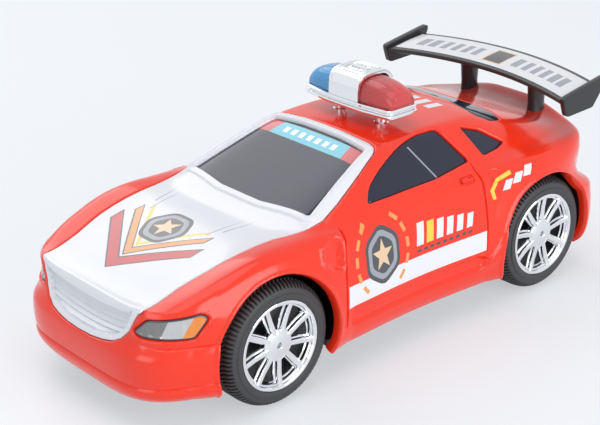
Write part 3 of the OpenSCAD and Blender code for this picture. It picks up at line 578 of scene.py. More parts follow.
sillField, scoopField, handleField, gripField = (outlineField(shellForm[key], 0, 2, onFlank)
                                                 for key in ("sill", "scoop", "handle", "grip"))
flapField = outlineField(shellForm["flap"], 0, 2, lambda p: p[:, 1] > 28)
plateField = outlineField(shellForm["plate"], 1, 2, lambda p: p[:, 0] < -84)


def shutField(p):
    first, second = (lineSide(line, p[:, 0], p[:, 2]) for line in shellForm["shutLines"])
    return onSide(p, np.where(np.abs(first) < np.abs(second), first, second))


def chinField(p):
    height, slope = shellForm["chin"]
    return np.where(p[:, 0] > 60, p[:, 2] - height - slope * (90 - p[:, 0]), farAway)


def ledgeField(p):
    height, slope = shellForm["ledge"]
    return np.where((p[:, 0] > 66) & (np.abs(p[:, 1]) > 19), p[:, 2] - height + slope * (84 - p[:, 0]), farAway)


def haunchLine(p):
    (x, z), lean = shellForm["haunchAt"], shellForm["haunchLean"]
    return ((p[:, 0] - x) * lean[0] + (p[:, 2] - z) * lean[1]) / math.hypot(*lean)


def shellRelief(p):
    form, x, y, z = shellForm, p[:, 0], np.abs(p[:, 1]), p[:, 2]
    scoop, arch, haunch, rim = scoopField(p), archField(p), haunchLine(p), np.minimum(headField(p), tailField(p))
    dip, more = form["scoopDepth"]
    up = lipFall(shellField(p))
    up = up - form["shutDepth"] * inside(0.1, 0.42, np.abs(shutField(p)))
    up = up - form["sillDepth"] * inside(-0.9, 0.1, sillField(p))
    up = up - (dip + more * ease(32, 25, x)) * inside(-0.9, 0.05, scoop)
    up = up + form["scoopLip"] * ridge(0.05, 0.5, 0.9, 1.5, scoop)
    up = up - form["flapDepth"] * inside(0.05, 0.3, np.abs(flapField(p)))
    up = up - form["handleDepth"] * (handleField(p) < 1e-4) + form["gripRise"] * (gripField(p) < 1e-4)
    up = up - form["plateDepth"] * inside(-0.4, 0.1, plateField(p))
    up = up - form["chinDepth"] * inside(0.05, 0.5, np.abs(chinField(p))) * ease(62, 72, x)
    up = up + form["chinLip"] * inside(12.8, 14.0, z) * ease(62, 72, x)
    up = up - form["ledgeDepth"] * inside(0.05, 0.45, np.abs(ledgeField(p))) * ridge(67.5, 70, 83, 86, x)
    flare = form["flare"] * (1 - np.clip(arch / form["flareReach"], 0, 1)) * ease(-0.2, 0.3, arch)
    up = up + ease(29, 35, y) * (flare + form["archLip"] * ridge(0.15, 0.5, 1.1, 1.5, arch))
    crease = form["haunchRise"] * ridge(-0.3, 0.9, 1.5, 9, haunch) * ridge(14, 18, 29, 34, z)
    up = up + onSide(p, crease * (x < -28), 0)
    return up + form["lampLip"] * ridge(0.1, 0.5, 0.9, 1.5, rim)


# Prints are plain stripes, bars and badges, as outlines on the side (x, z) or seen from above (x, y)

def slantBar(x, z, width, height, lean):
    return [(x, z), (x + lean, z + height), (x + lean - width, z + height), (x - width, z)]


def ringOf(x, z, a, b, corners, turn=0.0, waist=1.0):
    # corners on an oval; every second one is drawn in by waist, which makes a star
    made = []
    for k in range(corners):
        t, size = 2 * math.pi * k / corners + turn, waist if k % 2 else 1
        made.append((x + a * size * math.cos(t), z + b * size * math.sin(t)))
    return made


def fanBar(x, z, a, b, t, length=1.5, half=0.6):
    # short bar along an oval round the badge
    c, s = math.cos(t), math.sin(t)
    size = math.hypot(a * s, b * c)
    u, v = -a * s / size, b * c / size
    return [(x + a * c + i * length * u + j * half * v, z + b * s + i * length * v - j * half * u)
            for i, j in ((-1, -1), (1, -1), (1, 1), (-1, 1))]


# ink, size and corner of each ring, then size and waist of the star
badgeForm = {"rings": (("inkDark", 1, 0.3), ("inkGrey", 0.84, 0.25), ("inkDark", 0.64, 0.2)), "star": (0.52, 0.42)}


def badgePrints(x, z, a, b, ahead):
    # dark rim, grey ring and dark field with a pale star, whose point is at the angle ahead
    made = [(ink, rounded(ringOf(x, z, a * share, b * share, 6, math.pi / 2), corner * a))
            for ink, share, corner in badgeForm["rings"]]
    size, waist = badgeForm["star"]
    return made + [("inkCream", ringOf(x, z, a * size, b * size, 10, ahead, waist))]


doorBadge = (9.8, 33.1)
sidePrints = [("inkWhite", [(24.9, 21.7), (24.2, 28.0), (-33.0, 28.0), (-33.0, 21.7)])]
sidePrints += [("inkOrange", fanBar(*doorBadge, 10.5, 11.9, math.radians(90 - s * t)))
               for s in (-1, 1) for t in (38, 62, 86, 110, 134)]
sidePrints += badgePrints(*doorBadge, 8.0, 9.4, math.pi / 2)
sidePrints += [("inkYellow" if k == 1 else "inkWhite",
                slantBar(-4.2 - 4.1 * k, 31.2, 2.9 - 0.1 * k, 6.8 - 0.5 * k, -0.9)) for k in range(6)]
sidePrints += [("inkDark", slantBar(-4.4 - 2.6 * k, 29.2, 1.6, 0.9, -0.2)) for k in range(9)]
sidePrints += [("inkYellow", [(-36.5, 36.8), (-35.6, 39.8), (-38.4, 43.0), (-44.4, 44.2), (-44.6, 43.0),
                              (-39.4, 42.0), (-37.2, 39.6), (-37.8, 36.8)])]
sidePrints += [("inkWhite", slantBar(-40.6 - 4.2 * k, 38.6 + 1.3 * k, 3.0, 3.0, -1.6)) for k in range(3)]
roofPrints = [("inkWhite", [(-36.4, y), (-42.0, y + 0.8), (-42.0, y + 3.6), (-36.4, y + 2.8)])
              for y in np.arange(-16.6, 12, 4.8)]


def printShape(outline, axis, near):
    # a field over one outline; few-sided outlines are cut along each side, so thin ones stay whole
    whole = outlineField(outline, 0, axis, near)

    def sideCut(a, b):
        u, v = np.array([a[1] - b[1], b[0] - a[0]]) / math.hypot(b[0] - a[0], b[1] - a[1])
        return lambda p: np.where(whole(p) < 2.6, (p[:, 0] - a[0]) * u + (p[:, axis] - a[1]) * v, farAway)
    if len(outline) <= 10:
        whole.edges = [sideCut(a, b) for a, b in zip(outline, outline[1:] + outline[:1])]
    return whole


def sideOutline(outline): return printShape(outline, 2, onFlank)


def topOutline(least): return lambda outline: printShape(outline, 1, lambda p: p[:, 2] > least)


def inked(rows, shape): return [(1 + inkOrder.index(ink), shape(outline)) for ink, outline in rows]


shellCuts = [(shutField, (0.42, 0.1, -0.1, -0.42)), (sillField, (0.1, -0.9)), (scoopField, (1.5, 0.5, 0.05, -0.9)),
             (flapField, (0.3, 0.05, -0.05, -0.3)), (plateField, (0.1, -0.4)),
             (chinField, (0.5, 0.06, -0.06, -0.5)), (ledgeField, (0.45, 0.06, -0.06, -0.45)),
             (archField, (7.0, 1.5, 1.1)), (lambda p: onSide(p, haunchLine(p)), (-0.3, 0.9))]
shellCuts += [(edge, (-0.12, 0.0)) for key in ("handle", "grip") for edge in sideOutline(shellForm[key]).edges]


# the inside of the red shell, in a band round each wheel arch, takes the dark chassis finish: painted shade under
# the arches
def paintedArchShade(p): return np.where((archField(p) < farAway) & (archField(p) > 0.4), 1 + len(inkOrder), 0)


buildSheet("redShell", shellField, shellRelief, bodyForm["wall"], ["red", *inkOrder, "chassis"], 38, ["body_shell"],
           "red_body", shellCuts, inked(sidePrints, sideOutline) + inked(roofPrints, topOutline(50)), paintedArchShade)


# White panel: bonnet, grille slats and windscreen frame

panelForm = {"lidEdge": 33.3, "lidRise": 1.6, "lidHalf": 21.8, "grilleLow": 25.0, "slats": 6, "slatDepth": 0.7,
             "slatBack": 0.28, "recess": 1.5, "bead": 0.25, "frameRise": 0.5, "wall": 1.9, "nose": 70,
             "grilleRim": (0.15, 1.5)}


def whiteField(p): return np.minimum(-panelField(p) - openings["seam"], screenField(p))


def lidLine(p):
    form = panelForm
    return form["lidEdge"] + form["lidRise"] * (p[:, 1] / form["lidHalf"]) ** 2 - p[:, 2]


def onNose(p, value, other=farAway): return np.where(p[:, 0] > panelForm["nose"], value, other)


def grilleField(p):
    under, aside = panelForm["grilleRim"]
    nose = outlineDistance(noseRing, p[:, 1], p[:, 2])
    return onNose(p, np.maximum(under - lidLine(p), nose + aside))


def slatLine(k):
    form = panelForm
    return lambda p: onNose(p, lidLine(p) - (form["lidEdge"] - form["grilleLow"]) * k / form["slats"])


def panelRelief(p):
    form, lid = panelForm, lidLine(p)
    place = np.clip(lid / (form["lidEdge"] - form["grilleLow"]), 0, 1) * form["slats"]
    slat, face = place - np.floor(place), 1 - form["slatBack"]
    wave = form["slatDepth"] * (np.where(slat < face, slat / face, (1 - slat) / form["slatBack"]) - 1)
    sunk = wave - form["recess"] * (1 - 0.5 * place / form["slats"])
    up = lipFall(whiteField(p), 0.5) + inside(-0.4, 0.03, grilleField(p)) * sunk
    up = up + onNose(p, form["bead"] * np.exp(-((lid + 0.7) / 0.8) ** 2), 0)
    return up + form["frameRise"] * ridge(0.0, 0.6, 2.1, 2.8, screenField(p))


def chevron(front, thick, half, reach, middle=-3.0):
    return [(front, middle), (front - reach, middle + half), (front - reach - thick, middle + half),
            (front - thick, middle), (front - reach - thick, middle - half), (front - reach, middle - half)]


bonnetPrints = [("inkDark", chevron(77.6, 5.2, 19.0, 15.5)), ("inkRed", chevron(77.0, 4.0, 18.6, 15.2)),
                ("inkDark", chevron(71.6, 3.9, 16.4, 16.5)), ("inkOrange", chevron(71.0, 2.8, 16.0, 16.2)),
                ("inkYellow", chevron(67.0, 1.6, 13.4, 16.0))]
for s in (-1, 1):
    for k in range(2):
        x, y = 52 - 4 * k, s * (13.2 + 2.6 * k)
        bonnetPrints.append(("inkGrey", [(x, y - 3.3), (38 - 2 * k, s * (15.0 + 3.4 * k) - 3.0), (x, y - 2.8)]))
bonnetPrints += badgePrints(56.0, -3.0, 8.6, 8.6, 0.0)
panelCuts = [(grilleField, (0.03, -0.4)), (screenField, (2.8, 2.45, 2.1, 0.6, 0.3))]
panelCuts += [(slatLine(k - back), (0.0,)) for back in (0, panelForm["slatBack"])
              for k in np.arange(1, panelForm["slats"] + 1)]
buildSheet("whitePanel", whiteField, panelRelief, panelForm["wall"], ["white", *inkOrder], 38, ["bonnet_panel"],
           "white_panel", panelCuts, inked(bonnetPrints, topOutline(30)))


# Dark glazing: a raised pane of the inner moulding in each opening

paneForm = {"gap": 0.05, "lip": 0.3, "depth": 1.62, "sunk": 0.85, "rearSunk": 0.1,
            "divider": [(-13.6, 56.4), (-14.2, 56.4), (-18.9, 47.6), (-18.3, 47.6)]}
stripForm = {"top": 0.9, "low": 6.8, "ends": 16.0, "dash": (2.6, 5.0), "dashWidth": 2.0, "pitch": 3.5}


def buildPane(name, field, sunk, prints=()):
    def border(p): return -field(p) - paneForm["gap"]
    buildSheet(name, border, lambda p: lipFall(border(p), paneForm["lip"]) - sunk, paneForm["depth"],
               ["glass", *inkOrder] if prints else ["glass"], 40, (), "dark_glazing", (), prints)


def sunStrip():
    form, half = stripForm, stripForm["ends"]
    made = [("inkRed", bothSides([(form["top"], 20), (form["low"], 22)])),
            ("inkCyan", bothSides([(form["top"], half - 1.4), (form["low"], half)]))]
    (start, end), wide = form["dash"], form["dashWidth"]
    for y in np.arange(-12, 12, form["pitch"]):
        made.append(("inkWhite", [(start, y), (end, y + 0.2), (end, y + 0.2 + wide), (start, y + wide)]))
    return inked(made, topOutline(44))


divider = printShape(paneForm["divider"], 2, lambda p: np.abs(p[:, 1]) > 12)
buildPane("windscreenPane", screenField, paneForm["sunk"], sunStrip())
buildPane("doorPanes", doorField, paneForm["sunk"], [(1 + inkOrder.index("inkGrey"), divider)])
buildPane("quarterPanes", quarterField, paneForm["sunk"])
buildPane("rearPane", rearField, paneForm["rearSunk"])


# Lamps: a dark border, grey and silver fluted reflectors and an amber end; the tail lamps are red and silver

lampForm = {"gap": 0.05, "lip": 0.4, "depth": 2.6, "sunk": 0.2, "flutes": 2.6, "fluteDepth": 0.2,
            "headRim": 0.6, "tailRim": 0.8, "silver": (-2.4, 0.5), "amber": (3.8, 0.6), "slantAt": 31,
            "strip": (4.6, 1.7)}


def buildLamp(name, field, at, prints, kinds, nodes, slot):
    form = lampForm

    def border(p): return -field(p) - form["gap"]

    def relief(p):
        wave = 0.5 - 0.5 * np.cos(lampPlace(at, p)[0] * form["flutes"])
        up = lipFall(border(p), form["lip"]) - form["sunk"]
        return up - form["fluteDepth"] * ease(0.6, 1.3, -field(p)) * wave
    places = np.arange(-18, 17) * (math.pi / 2 / form["flutes"])
    ribs = [(lambda p, k=k: lampPlace(at, p)[0] - k, (0.0,)) for k in places]
    buildSheet(name, border, relief, form["depth"], kinds, 40, nodes, slot, ribs, prints)


def headSlant(key):
    # the part of the head lamp outward of a slanting line
    start, lean = lampForm[key]

    def slant(p):
        t = lampPlace(openings["headAt"], p)[0]
        edge = start - t + lean * (p[:, 2] - lampForm["slantAt"])
        return np.maximum(headField(p) + lampForm["headRim"], edge)
    return slant


def tailStrip(p):
    middle, half = lampForm["strip"]
    t = lampPlace(openings["tailAt"], p)[0]
    return np.maximum(tailField(p) + lampForm["tailRim"], np.abs(t - middle) - half)


headPrints = [(1, lambda p: headField(p) + lampForm["headRim"]), (2, headSlant("silver")),
              (3, headSlant("amber"))]
buildLamp("headLamps", headField, openings["headAt"], headPrints, ["inkDark", "lampGrey", "silver", "amber"],
          ["headlight_left", "headlight_right"], "lamp_lens")
tailPrints = [(1, lambda p: tailField(p) + lampForm["tailRim"]), (2, tailStrip)]
buildLamp("tailLamps", tailField, openings["tailAt"], tailPrints, ["inkDark", "tail", "silver"],
          ["tail_lamp_left", "tail_lamp_right"], "tail_lens")


# Lofted pieces: rings of points joined into closed skins

def loft(rings, wrapped=False):
    rings = np.asarray(rings, float)
    n, m = rings.shape[:2]
    i, j = (k.ravel() for k in np.mgrid[0:n if wrapped else n - 1, 0:m])
    k, l = (i + 1) % n, (j + 1) % m
    faces = np.stack([i * m + j, i * m + l, k * m + l, k * m + j], 1).tolist()
    if not wrapped:
        faces += [list(range(m))[::-1], list(range((n - 1) * m, n * m))]
    return facing(rings.reshape(-1, 3), faces)


def facing(points, faces, inward=False):
    # turns every face outward, or inward for the inside of a hollow piece
    fan = np.array([(f[0], f[k], f[k + 1]) for f in faces for k in range(1, len(f) - 1)])
    a, b, c = points[fan[:, 0]], points[fan[:, 1]], points[fan[:, 2]]
    volume = np.einsum("ij,ij->i", a, np.cross(b, c)).sum()
    return (points, faces) if (volume > 0) != inward else (points, [f[::-1] for f in faces])


def column(x, y, rows, sides, wide=1.0, deep=1.0):
    # upright pin or post; rows are (height, radius)
    return loft([[(x + wide * r * math.cos(k), y + deep * r * math.sin(k), z) for k in circle(sides)]
                 for z, r in rows])


def tube(path, radius, sides=8, closed=False):
    path = np.array(path, float)
    ahead, behind = np.roll(path, -1, 0), np.roll(path, 1, 0)
    if not closed:
        ahead[-1], behind[0] = path[-1], path[0]
    rings = []
    for p, t in zip(path, ahead - behind):
        t = t / np.linalg.norm(t)
        u = np.cross(t, (0.1, 0.2, 1.0))
        u /= np.linalg.norm(u)
        v = np.cross(t, u)
        rings.append([p + radius * (math.cos(k) * u + math.sin(k) * v) for k in circle(sides)])
    return loft(rings, wrapped=closed)


def addJoined(name, parts, kinds, body, sharp, nodes, slot):
    # parts are ((points, faces), finish number or a list of them)
    points, faces, tags, start = [], [], [], 0
    for (p, f), tag in parts:
        points.append(p)
        faces += [[v + start for v in face] for face in f]
        tags += list(tag) if np.ndim(tag) else [tag] * len(f)
        start += len(p)
    addPiece(name, np.concatenate(points), faces, [finish[kind] for kind in kinds], body, tags, sharp, nodes, slot)


# Wheels: ribbed tyres and plated rims; a profile is (radius, depth from the wheel's face)

wheelForm = {
    "face": 38.9, "width": 12.9, "lugs": 84, "lugDepth": 0.8, "lugEdges": (0.04, 0.48, 0.56, 0.96),
    "ribHalf": 3.0, "ribFrom": 18.4, "lugFrom": (17, 17.6), "lugStart": 0.55,
    "tyreSide": [(12.95, -0.95), (13.48, -0.75), (13.5, -0.2), (14.2, 0.1), (14.9, 0.18), (15.25, 0.1),
                 (15.38, -0.16), (15.7, -0.22), (16.3, -0.3), (16.75, -0.55)],
    "shoulder": [(17.3, -0.95), (17.85, -1.6), (18.2, -2.4), (18.36, -3.3)],
    "tread": [(17.7, -3.4), (17.7, -3.8), (18.45, -3.9), (18.45, -6.2)],
    "lip": [(12.86, -12.4), (12.86, -0.9), (13.36, -0.6), (13.33, -0.15), (13.1, 0), (12.75, 0), (12.45, -0.12),
            (12.2, -0.55), (12.15, -1.0), (11.75, -1.05), (11.6, -1.35), (11.6, -2.2), (11.36, -2.6),
            (11.36, -12.4)],
    "hub": [(0.75, -0.7), (0.75, -3), (5.0, -3), (5.0, -1.7), (4.7, -1.15), (4.0, -0.8), (2.4, -0.55),
            (1.1, -0.42)],
    # post and back take the black finish: painted shade in the gaps between the spokes
    "post": [(1.52, -2.8), (4, -2.8), (4, -14.9), (1.52, -14.9)],
    "back": [(3.5, -6.2), (3.5, -6.8), (11.45, -6.8), (11.45, -6.2)],
    "spokes": 9, "turns": (30.3, 12.5),  # degrees, front and rear
    "spoke": [(0.52, 0.1), (0.76, 0.0), (0.86, -0.3), (0.88, -1.0), (1.16, -1.08), (1.32, -1.35), (1.32, -2.2)],
    # radius, depth and size of the section along a spoke
    "spokeRings": ((3.6, -0.85, 0.92), (5.2, -0.95, 0.95), (8.5, -1.0, 1.0), (11.0, -0.7, 0.98),
                   (12.3, -0.45, 0.96)),
}


def lathe(profile, angles, x, side, lift=0.0):
    # lift changes the radius by angle and profile point
    r, d = np.array(profile, float).T
    r, a = r[None, :] + lift, np.asarray(angles)[:, None]
    y = np.broadcast_to(side * (wheelForm["face"] + d)[None, :], (len(angles), len(d)))
    return loft(np.stack([x + r * np.cos(a), y, openings["axleHeight"] + r * np.sin(a)], -1), True)


def buildTyre(name, x, side, body, node):
    form, n = wheelForm, wheelForm["lugs"]
    half = form["tyreSide"] + form["shoulder"] + form["tread"]
    profile = half + [(r, -form["width"] - d) for r, d in reversed(half)]
    groove = np.tile([0, 0, 1, 1], n)[:, None]
    turn = (np.arange(n)[:, None] + np.array(form["lugEdges"])).ravel() * 2 * math.pi / n
    r, d = np.array(profile).T
    outer, (low, high) = np.abs(d + form["width"] / 2) > form["ribHalf"], form["lugFrom"]
    shoulder = ((r > low) & outer) * np.where(r > high, 1, form["lugStart"])
    middle = (r > form["ribFrom"]) & ~outer
    tread = lathe(profile, turn, x, side, -form["lugDepth"] * (groove * shoulder + (1 - groove) * middle))
    addPiece(name, *tread, [finish["tyre"]], body, None, 28, [node], "tyre")


def buildRim(name, x, side, body, node):
    form, z, around = wheelForm, openings["axleHeight"], circle(96)
    # the post and the backing disc behind the plated spokes are black: painted shade for the spoke gaps
    parts = [(lathe(form[key], around[::step], x, side), tag)
             for key, step, tag in (("lip", 1, 0), ("hub", 2, 0), ("post", 4, 1), ("back", 2, 1))]
    section = form["spoke"] + [(-w, d) for w, d in reversed(form["spoke"])]
    for k in range(form["spokes"]):
        a = math.radians(form["turns"][x < 0]) + 2 * math.pi * k / form["spokes"]
        c, s = math.cos(a), math.sin(a)
        rings = [[(x + r * c - w * size * s, side * (form["face"] + top + d), z + r * s + w * size * c)
                  for w, d in section] for r, top, size in form["spokeRings"]]
        parts.append((loft(rings), 0))
    addJoined(name, parts, ("chrome", "black"), body, 30, [node], "plated_rim")


for end, x in zip(("front", "rear"), openings["axles"]):
    for side, word in ((1, "left"), (-1, "right")):
        buildTyre("%s%sTyre" % (end, word.title()), x, side, end + "_wheels", "tyre_%s_%s" % (end, word))
        buildRim("%s%sRim" % (end, word.title()), x, side, end + "_wheels", "rim_%s_%s" % (end, word))
print("wheels done")


# Light bar: coloured lenses, plated tray on two feet and relief on the plated bridge

barForm = {
    "x": -17.0, "base": 66.4, "top": 8.0, "half": 7.4, "bridgeCurve": (2 / 0.55, 0.3),
    "wall": 1.0, "flutes": 26, "fluteShare": 0.14 / 6, "seat": 0.03, "around": 61, "lensCurve": (0.66, 0.72),
    # distance from the middle, half width, height
    "lens": [(0.35, 6.4, 6.9), (6.0, 6.4, 6.8), (9.5, 6.2, 6.55), (12.5, 5.95, 6.15), (15.2, 5.55, 5.5),
             (17.2, 5.1, 4.5), (18.35, 4.7, 3.1)],
    "hollow": (1.2, 17.2, 0.6, 0.25),  # its ends, least height and floor
    "tray": [(5.0, 19.0), (-5.0, 19.0), (-6.2, 18.2), (-7.6, 7.6), (-7.6, -7.6), (-6.2, -18.2), (-5.0, -19.0),
             (5.0, -19.0), (6.2, -18.2), (7.6, -7.6), (7.6, 7.6), (6.2, 18.2)],
    "trayHalf": (7.6, 19),
    # height of each row, and how far its edge is drawn in
    "trayRows": [(63.2, 1.2), (63.3, 0.5), (63.6, 0.1), (64.2, 0.0), (64.5, 0.2), (64.65, 0.8), (65.15, 0.85),
                 (65.3, 0.2), (65.5, 0.0), (66.05, 0.0), (66.3, 0.2), (66.38, 0.7), (66.0, 1.1), (65.6, 1.4)],
    "footAt": 9,
    "foot": ((56.6, 1.5), (57.6, 1.5), (58.0, 2.4), (59.2, 2.5), (59.6, 1.9), (62.2, 1.9), (63.3, 2.6)),
    "frames": ((4.2, 4.6, 0.4), (2.6, 2.9, 0.3)), "frameCorner": 1.8, "frameLift": 0.05,
    # place, half length, points, lift and radius
    "bars": [(y, 1.8, 7, 0.02, 0.32) for y in (-1.6, 0, 1.6)],
    "beads": [(y, 7.0, 41, -0.05, 0.5) for y in (-6.0, 6.0)],
}


def lensRing(y, half, height, flute=0.0):
    n, (across, up) = barForm["around"], barForm["lensCurve"]
    a = np.linspace(0, math.pi, n)
    c, s = np.cos(a), np.sin(a)
    shrink = 1 - flute * (0.5 - 0.5 * np.cos(a * barForm["flutes"]))
    x = barForm["x"] + (half * shrink) * np.sign(c) * np.abs(c) ** across
    z = barForm["base"] + barForm["seat"] + height * shrink * np.abs(s) ** up
    return np.stack([x, np.full(n, y), z], 1)


def buildLens(name, side, kind, node):
    stations, w, flute = np.array(barForm["lens"]), barForm["wall"], barForm["fluteShare"]
    start, end, least, floor = barForm["hollow"]
    ys = np.linspace(stations[0, 0], stations[-1, 0], 40)
    rows = list(zip(ys, *(curveThrough(stations[:, [0, k]], ys) for k in (1, 2))))
    outer = [lensRing(side * y, a, b) for y, a, b in rows]
    inner = [lensRing(side * min(max(y, start), end), a - w, max(b - w, least), flute) + (0, 0, floor)
             for y, a, b in rows[2:-2]]
    addJoined(name, [(loft(outer), 0), (facing(*loft(inner), True), 0)], [kind], "car", 40, [node], node)


def bridgeTop(x):
    share = np.minimum(np.abs((x - barForm["x"]) / barForm["half"]), 1)
    inner, outer = barForm["bridgeCurve"]
    return barForm["base"] + barForm["top"] * (1 - share ** inner) ** outer


def onBridge(line, lift): return [(x, y, bridgeTop(x) + lift) for x, y in line]


def buildBar():
    form, mid, (wide, long) = barForm, barForm["x"], barForm["trayHalf"]
    tray = rounded(form["tray"], 1.0)
    rows = [[(mid + x * (1 - g / wide), y * (1 - g / long), z) for x, y in tray] for z, g in form["trayRows"]]
    feet = [(column(mid, s * form["footAt"], form["foot"], 32), 0) for s in (-1, 1)]
    addJoined("barTray", [(loft(rows), 0), *feet], ["chrome"], "car", 32, ["lightbar_base"], "plated_plastic")
    crest = []
    for a, b, r in form["frames"]:
        ring = rounded([(mid - a, -b), (mid + a, -b), (mid + a, b), (mid - a, b)], form["frameCorner"])
        crest.append((tube(onBridge(ring, form["frameLift"]), r, 8, True), 0))
    for y, half, steps, lift, r in form["bars"] + form["beads"]:
        line = [(mid + x, y) for x in np.linspace(-half, half, steps)]
        crest.append((tube(onBridge(line, lift), r), 0))
    addJoined("bridgeRelief", crest, ["chrome"], "car", 40, (), "plated_plastic")


buildLens("redBarLens", 1, "redLens", "red_lens")
buildLens("blueBarLens", -1, "blueLens", "blue_lens")
buildBar()
print("light bar done")


# Rear wing: bowed blade with a printed strip, end plates and posts

wingForm = {
    "half": 38.4, "step": 0.6, "middle": (-72.2, 62.1), "bow": (6.6, 1.2), "bowAt": 40, "plateCorner": 0.8,
    "top": [(-16, 2.4), (-15.6, 2.5), (-12, 2.2), (-8, 1.83), (-3.5, 1.16), (-0.6, 0.66), (0.1, 0.35), (0.2, 0.0)],
    "under": [(-16.2, 1.5), (-15, 1.1), (-9, -0.36), (-4, -1.05), (-1, -1.32), (-0.3, -1.1), (0, -0.88)],
    "plate": [(-65, 62.6), (-65.2, 61), (-66.6, 56.8), (-67.6, 56.2), (-79.4, 56.6), (-85.4, 63.8), (-85.6, 65.4),
              (-84.6, 65.8)],
    "plateRows": ((38.0, 0.97), (38.25, 1.0), (39.75, 1.0), (40.0, 0.97)),
    "post": (-82.0, 14.8), "postShape": (1.25, 0.85),
    "postRows": ((47.4, 3.6), (48.2, 2.75), (52, 2.6), (57, 2.85), (61, 3.2), (62.6, 3.4)),
    # half width and chord of the strip, its dark field and that field's border
    "strip": (36.6, 0.9, 14.7), "field": (3.4, 3.6, 11.8), "border": (4.2, 3.0, 12.4),
    # start, pitch, count and share of the bars
    "bars": (7.5, 4.3, 6, 0.62), "barChord": (4.8, 10.8),
}


def wingTag(y, chord):
    # 0 plain, 1 strip, 2 bar, 3 field, 4 border
    def within(key): return y < wingForm[key][0] and wingForm[key][1] < chord < wingForm[key][2]
    start, pitch, count, share = wingForm["bars"]
    low, high = wingForm["barChord"]
    y = abs(y)
    if not within("strip"):
        return 0
    if y < wingForm["border"][0]:
        return 3 if within("field") else 4 if within("border") else 1
    place = (y - start) / pitch
    return 2 if 0 <= place < count and place % 1 < share and low < chord < high else 1


def buildWing():
    form = wingForm
    xs = np.concatenate([[0.2, 0.1], np.linspace(-0.6, -15.6, 26), [-16]])
    top = list(zip(xs, curveThrough(form["top"], xs)))
    section = top + form["under"]
    ys, m = np.arange(-form["half"], form["half"] + 0.01, form["step"]), len(section)
    rings = []
    for y in ys:
        t = (y / form["bowAt"]) ** 2
        rings.append([(form["middle"][0] + form["bow"][0] * t + x, y, form["middle"][1] - form["bow"][1] * t + z)
                      for x, z in section])
    blade, tags = loft(rings), []
    for f in blade[1]:
        upper = len(f) == 4 and max(v % m for v in f) < len(top)
        y, chord = np.mean([ys[v // m] for v in f]), -np.mean([section[v % m][0] for v in f])
        tags.append(wingTag(y, chord) if upper else 0)
    parts = [(blade, tags)]
    ring = np.array(rounded(form["plate"], form["plateCorner"], 4))
    middle = ring.mean(0)
    for s in (-1, 1):
        rows = [[(x, s * y, z) for x, z in (ring - middle) * k + middle] for y, k in form["plateRows"]]
        post = column(form["post"][0], s * form["post"][1], form["postRows"], 40, *form["postShape"])
        parts += [(loft(rows), 0), (post, 0)]
    addJoined("bootWing", parts, ("black", "inkWhite", "inkGrey", "inkDark", "inkCream"), "car", 35, ["rear_wing"],
              "wing_plastic")


buildWing()
print("wing done")


# Underside: screws with cross slots and low ribs on the pan

screwForm = {"head": 2.5, "shank": 1.3, "headHeight": 1.2, "slot": 0.42, "arm": 1.45, "depth": 0.75, "around": 96,
             "slotEdge": (-0.12, 0.06), "edge": 0.35, "dome": 0.05, "tip": 0.4,
             "rings": (0.05, 0.2, 0.36, 0.48, 0.6, 0.75, 0.9, 1.05, 1.2, 1.33, 1.46, 1.58, 1.9, 2.2, 2.35, 2.46,
                       2.5)}
panForm = {"low": 9.4, "rib": 0.55, "frame": [(36, 22.0), (-22, 24.5), (-22, -24.5), (36, -22.0)], "barHalf": 15.0,
           "corner": 6, "bars": (*np.arange(-18, 33, 6.0), 64, 68, 72),
           "screws": [(75.6, 24.4), (75.6, -24.4), (-79.6, 20.4), (-79.6, -20.4)]}


def buildScrews(name, node, places, length):
    form, parts, a = screwForm, [], circle(screwForm["around"])
    top = panForm["low"] + form["headHeight"]
    for x, y in places:
        def ringAt(r, z): return np.stack([x + r * np.cos(a), y + r * np.sin(a), np.broadcast_to(z, len(a))], 1)
        rings = []
        for r in form["rings"]:
            u, v = np.abs(r * np.cos(a)), np.abs(r * np.sin(a))
            arms = [np.maximum(i - form["slot"], j - form["arm"]) for i, j in ((u, v), (v, u))]
            slot = form["depth"] * inside(*form["slotEdge"], np.minimum(*arms))
            up = slot + edgeFall(form["head"] - r, form["edge"])
            rings.append(ringAt(r, panForm["low"] + up + form["dome"] * (r / form["head"]) ** 2))
        rings += [ringAt(form["head"], top), ringAt(form["shank"], top), ringAt(form["shank"], top + length - 1),
                  ringAt(form["tip"], top + length)]
        parts.append((loft(rings), 0))
    addJoined(name, parts, ["steel"], "car", 35, [node], "steel")


def buildRibs():
    form = panForm
    lines = [(rounded(form["frame"], form["corner"], 8), True)]
    lines += [([(x, y) for y in np.linspace(-1, 1, 15) * form["barHalf"]], False) for x in form["bars"]]
    parts = [(tube([(x, y, form["low"]) for x, y in line], form["rib"], 10, closed), 0) for line, closed in lines]
    addJoined("panRibs", parts, ["chassis"], "car", 40, (), "chassis_plastic")


buildScrews("panScrews", "chassis_screws", panForm["screws"], 12)
ends = [corner[0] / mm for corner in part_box("gearbox_screws")]
buildScrews("boxScrews", "gearbox_screws", [(ends[0] + screwForm["head"], 0), (ends[1] - screwForm["head"], 0)], 6)
buildRibs()
print("underside done")


# Solids that stay as they are get a finish and softened edges

cadFinish = {"glass": ["window_insert"], "chassis": ["chassis_pan", "front_axle_clip"],
             "chrome": ["lightbar_cover"], "gearbox": ["gearbox_case", "gearbox_cover"],
             "gear": ["axle_gear", "idler_gear"], "iron": ["flywheel"],
             "steel": ["clip_screws", "idler_shaft", "front_axle", "rear_axle", "flywheel_shaft"]}
softEdge = {"width": 0.00015, "segments": 2, "limit_method": "ANGLE", "angle_limit": math.radians(35)}
for kind, names in cadFinish.items():
    for name in names:
        cadNodes[name].data.materials.clear()
        cadNodes[name].data.materials.append(finish[kind])
        bevel = cadNodes[name].modifiers.new("softEdges", "BEVEL")
        for key, value in softEdge.items():
            setattr(bevel, key, value)
print("solids finished")


# Studio: pale floor, soft lights and the camera

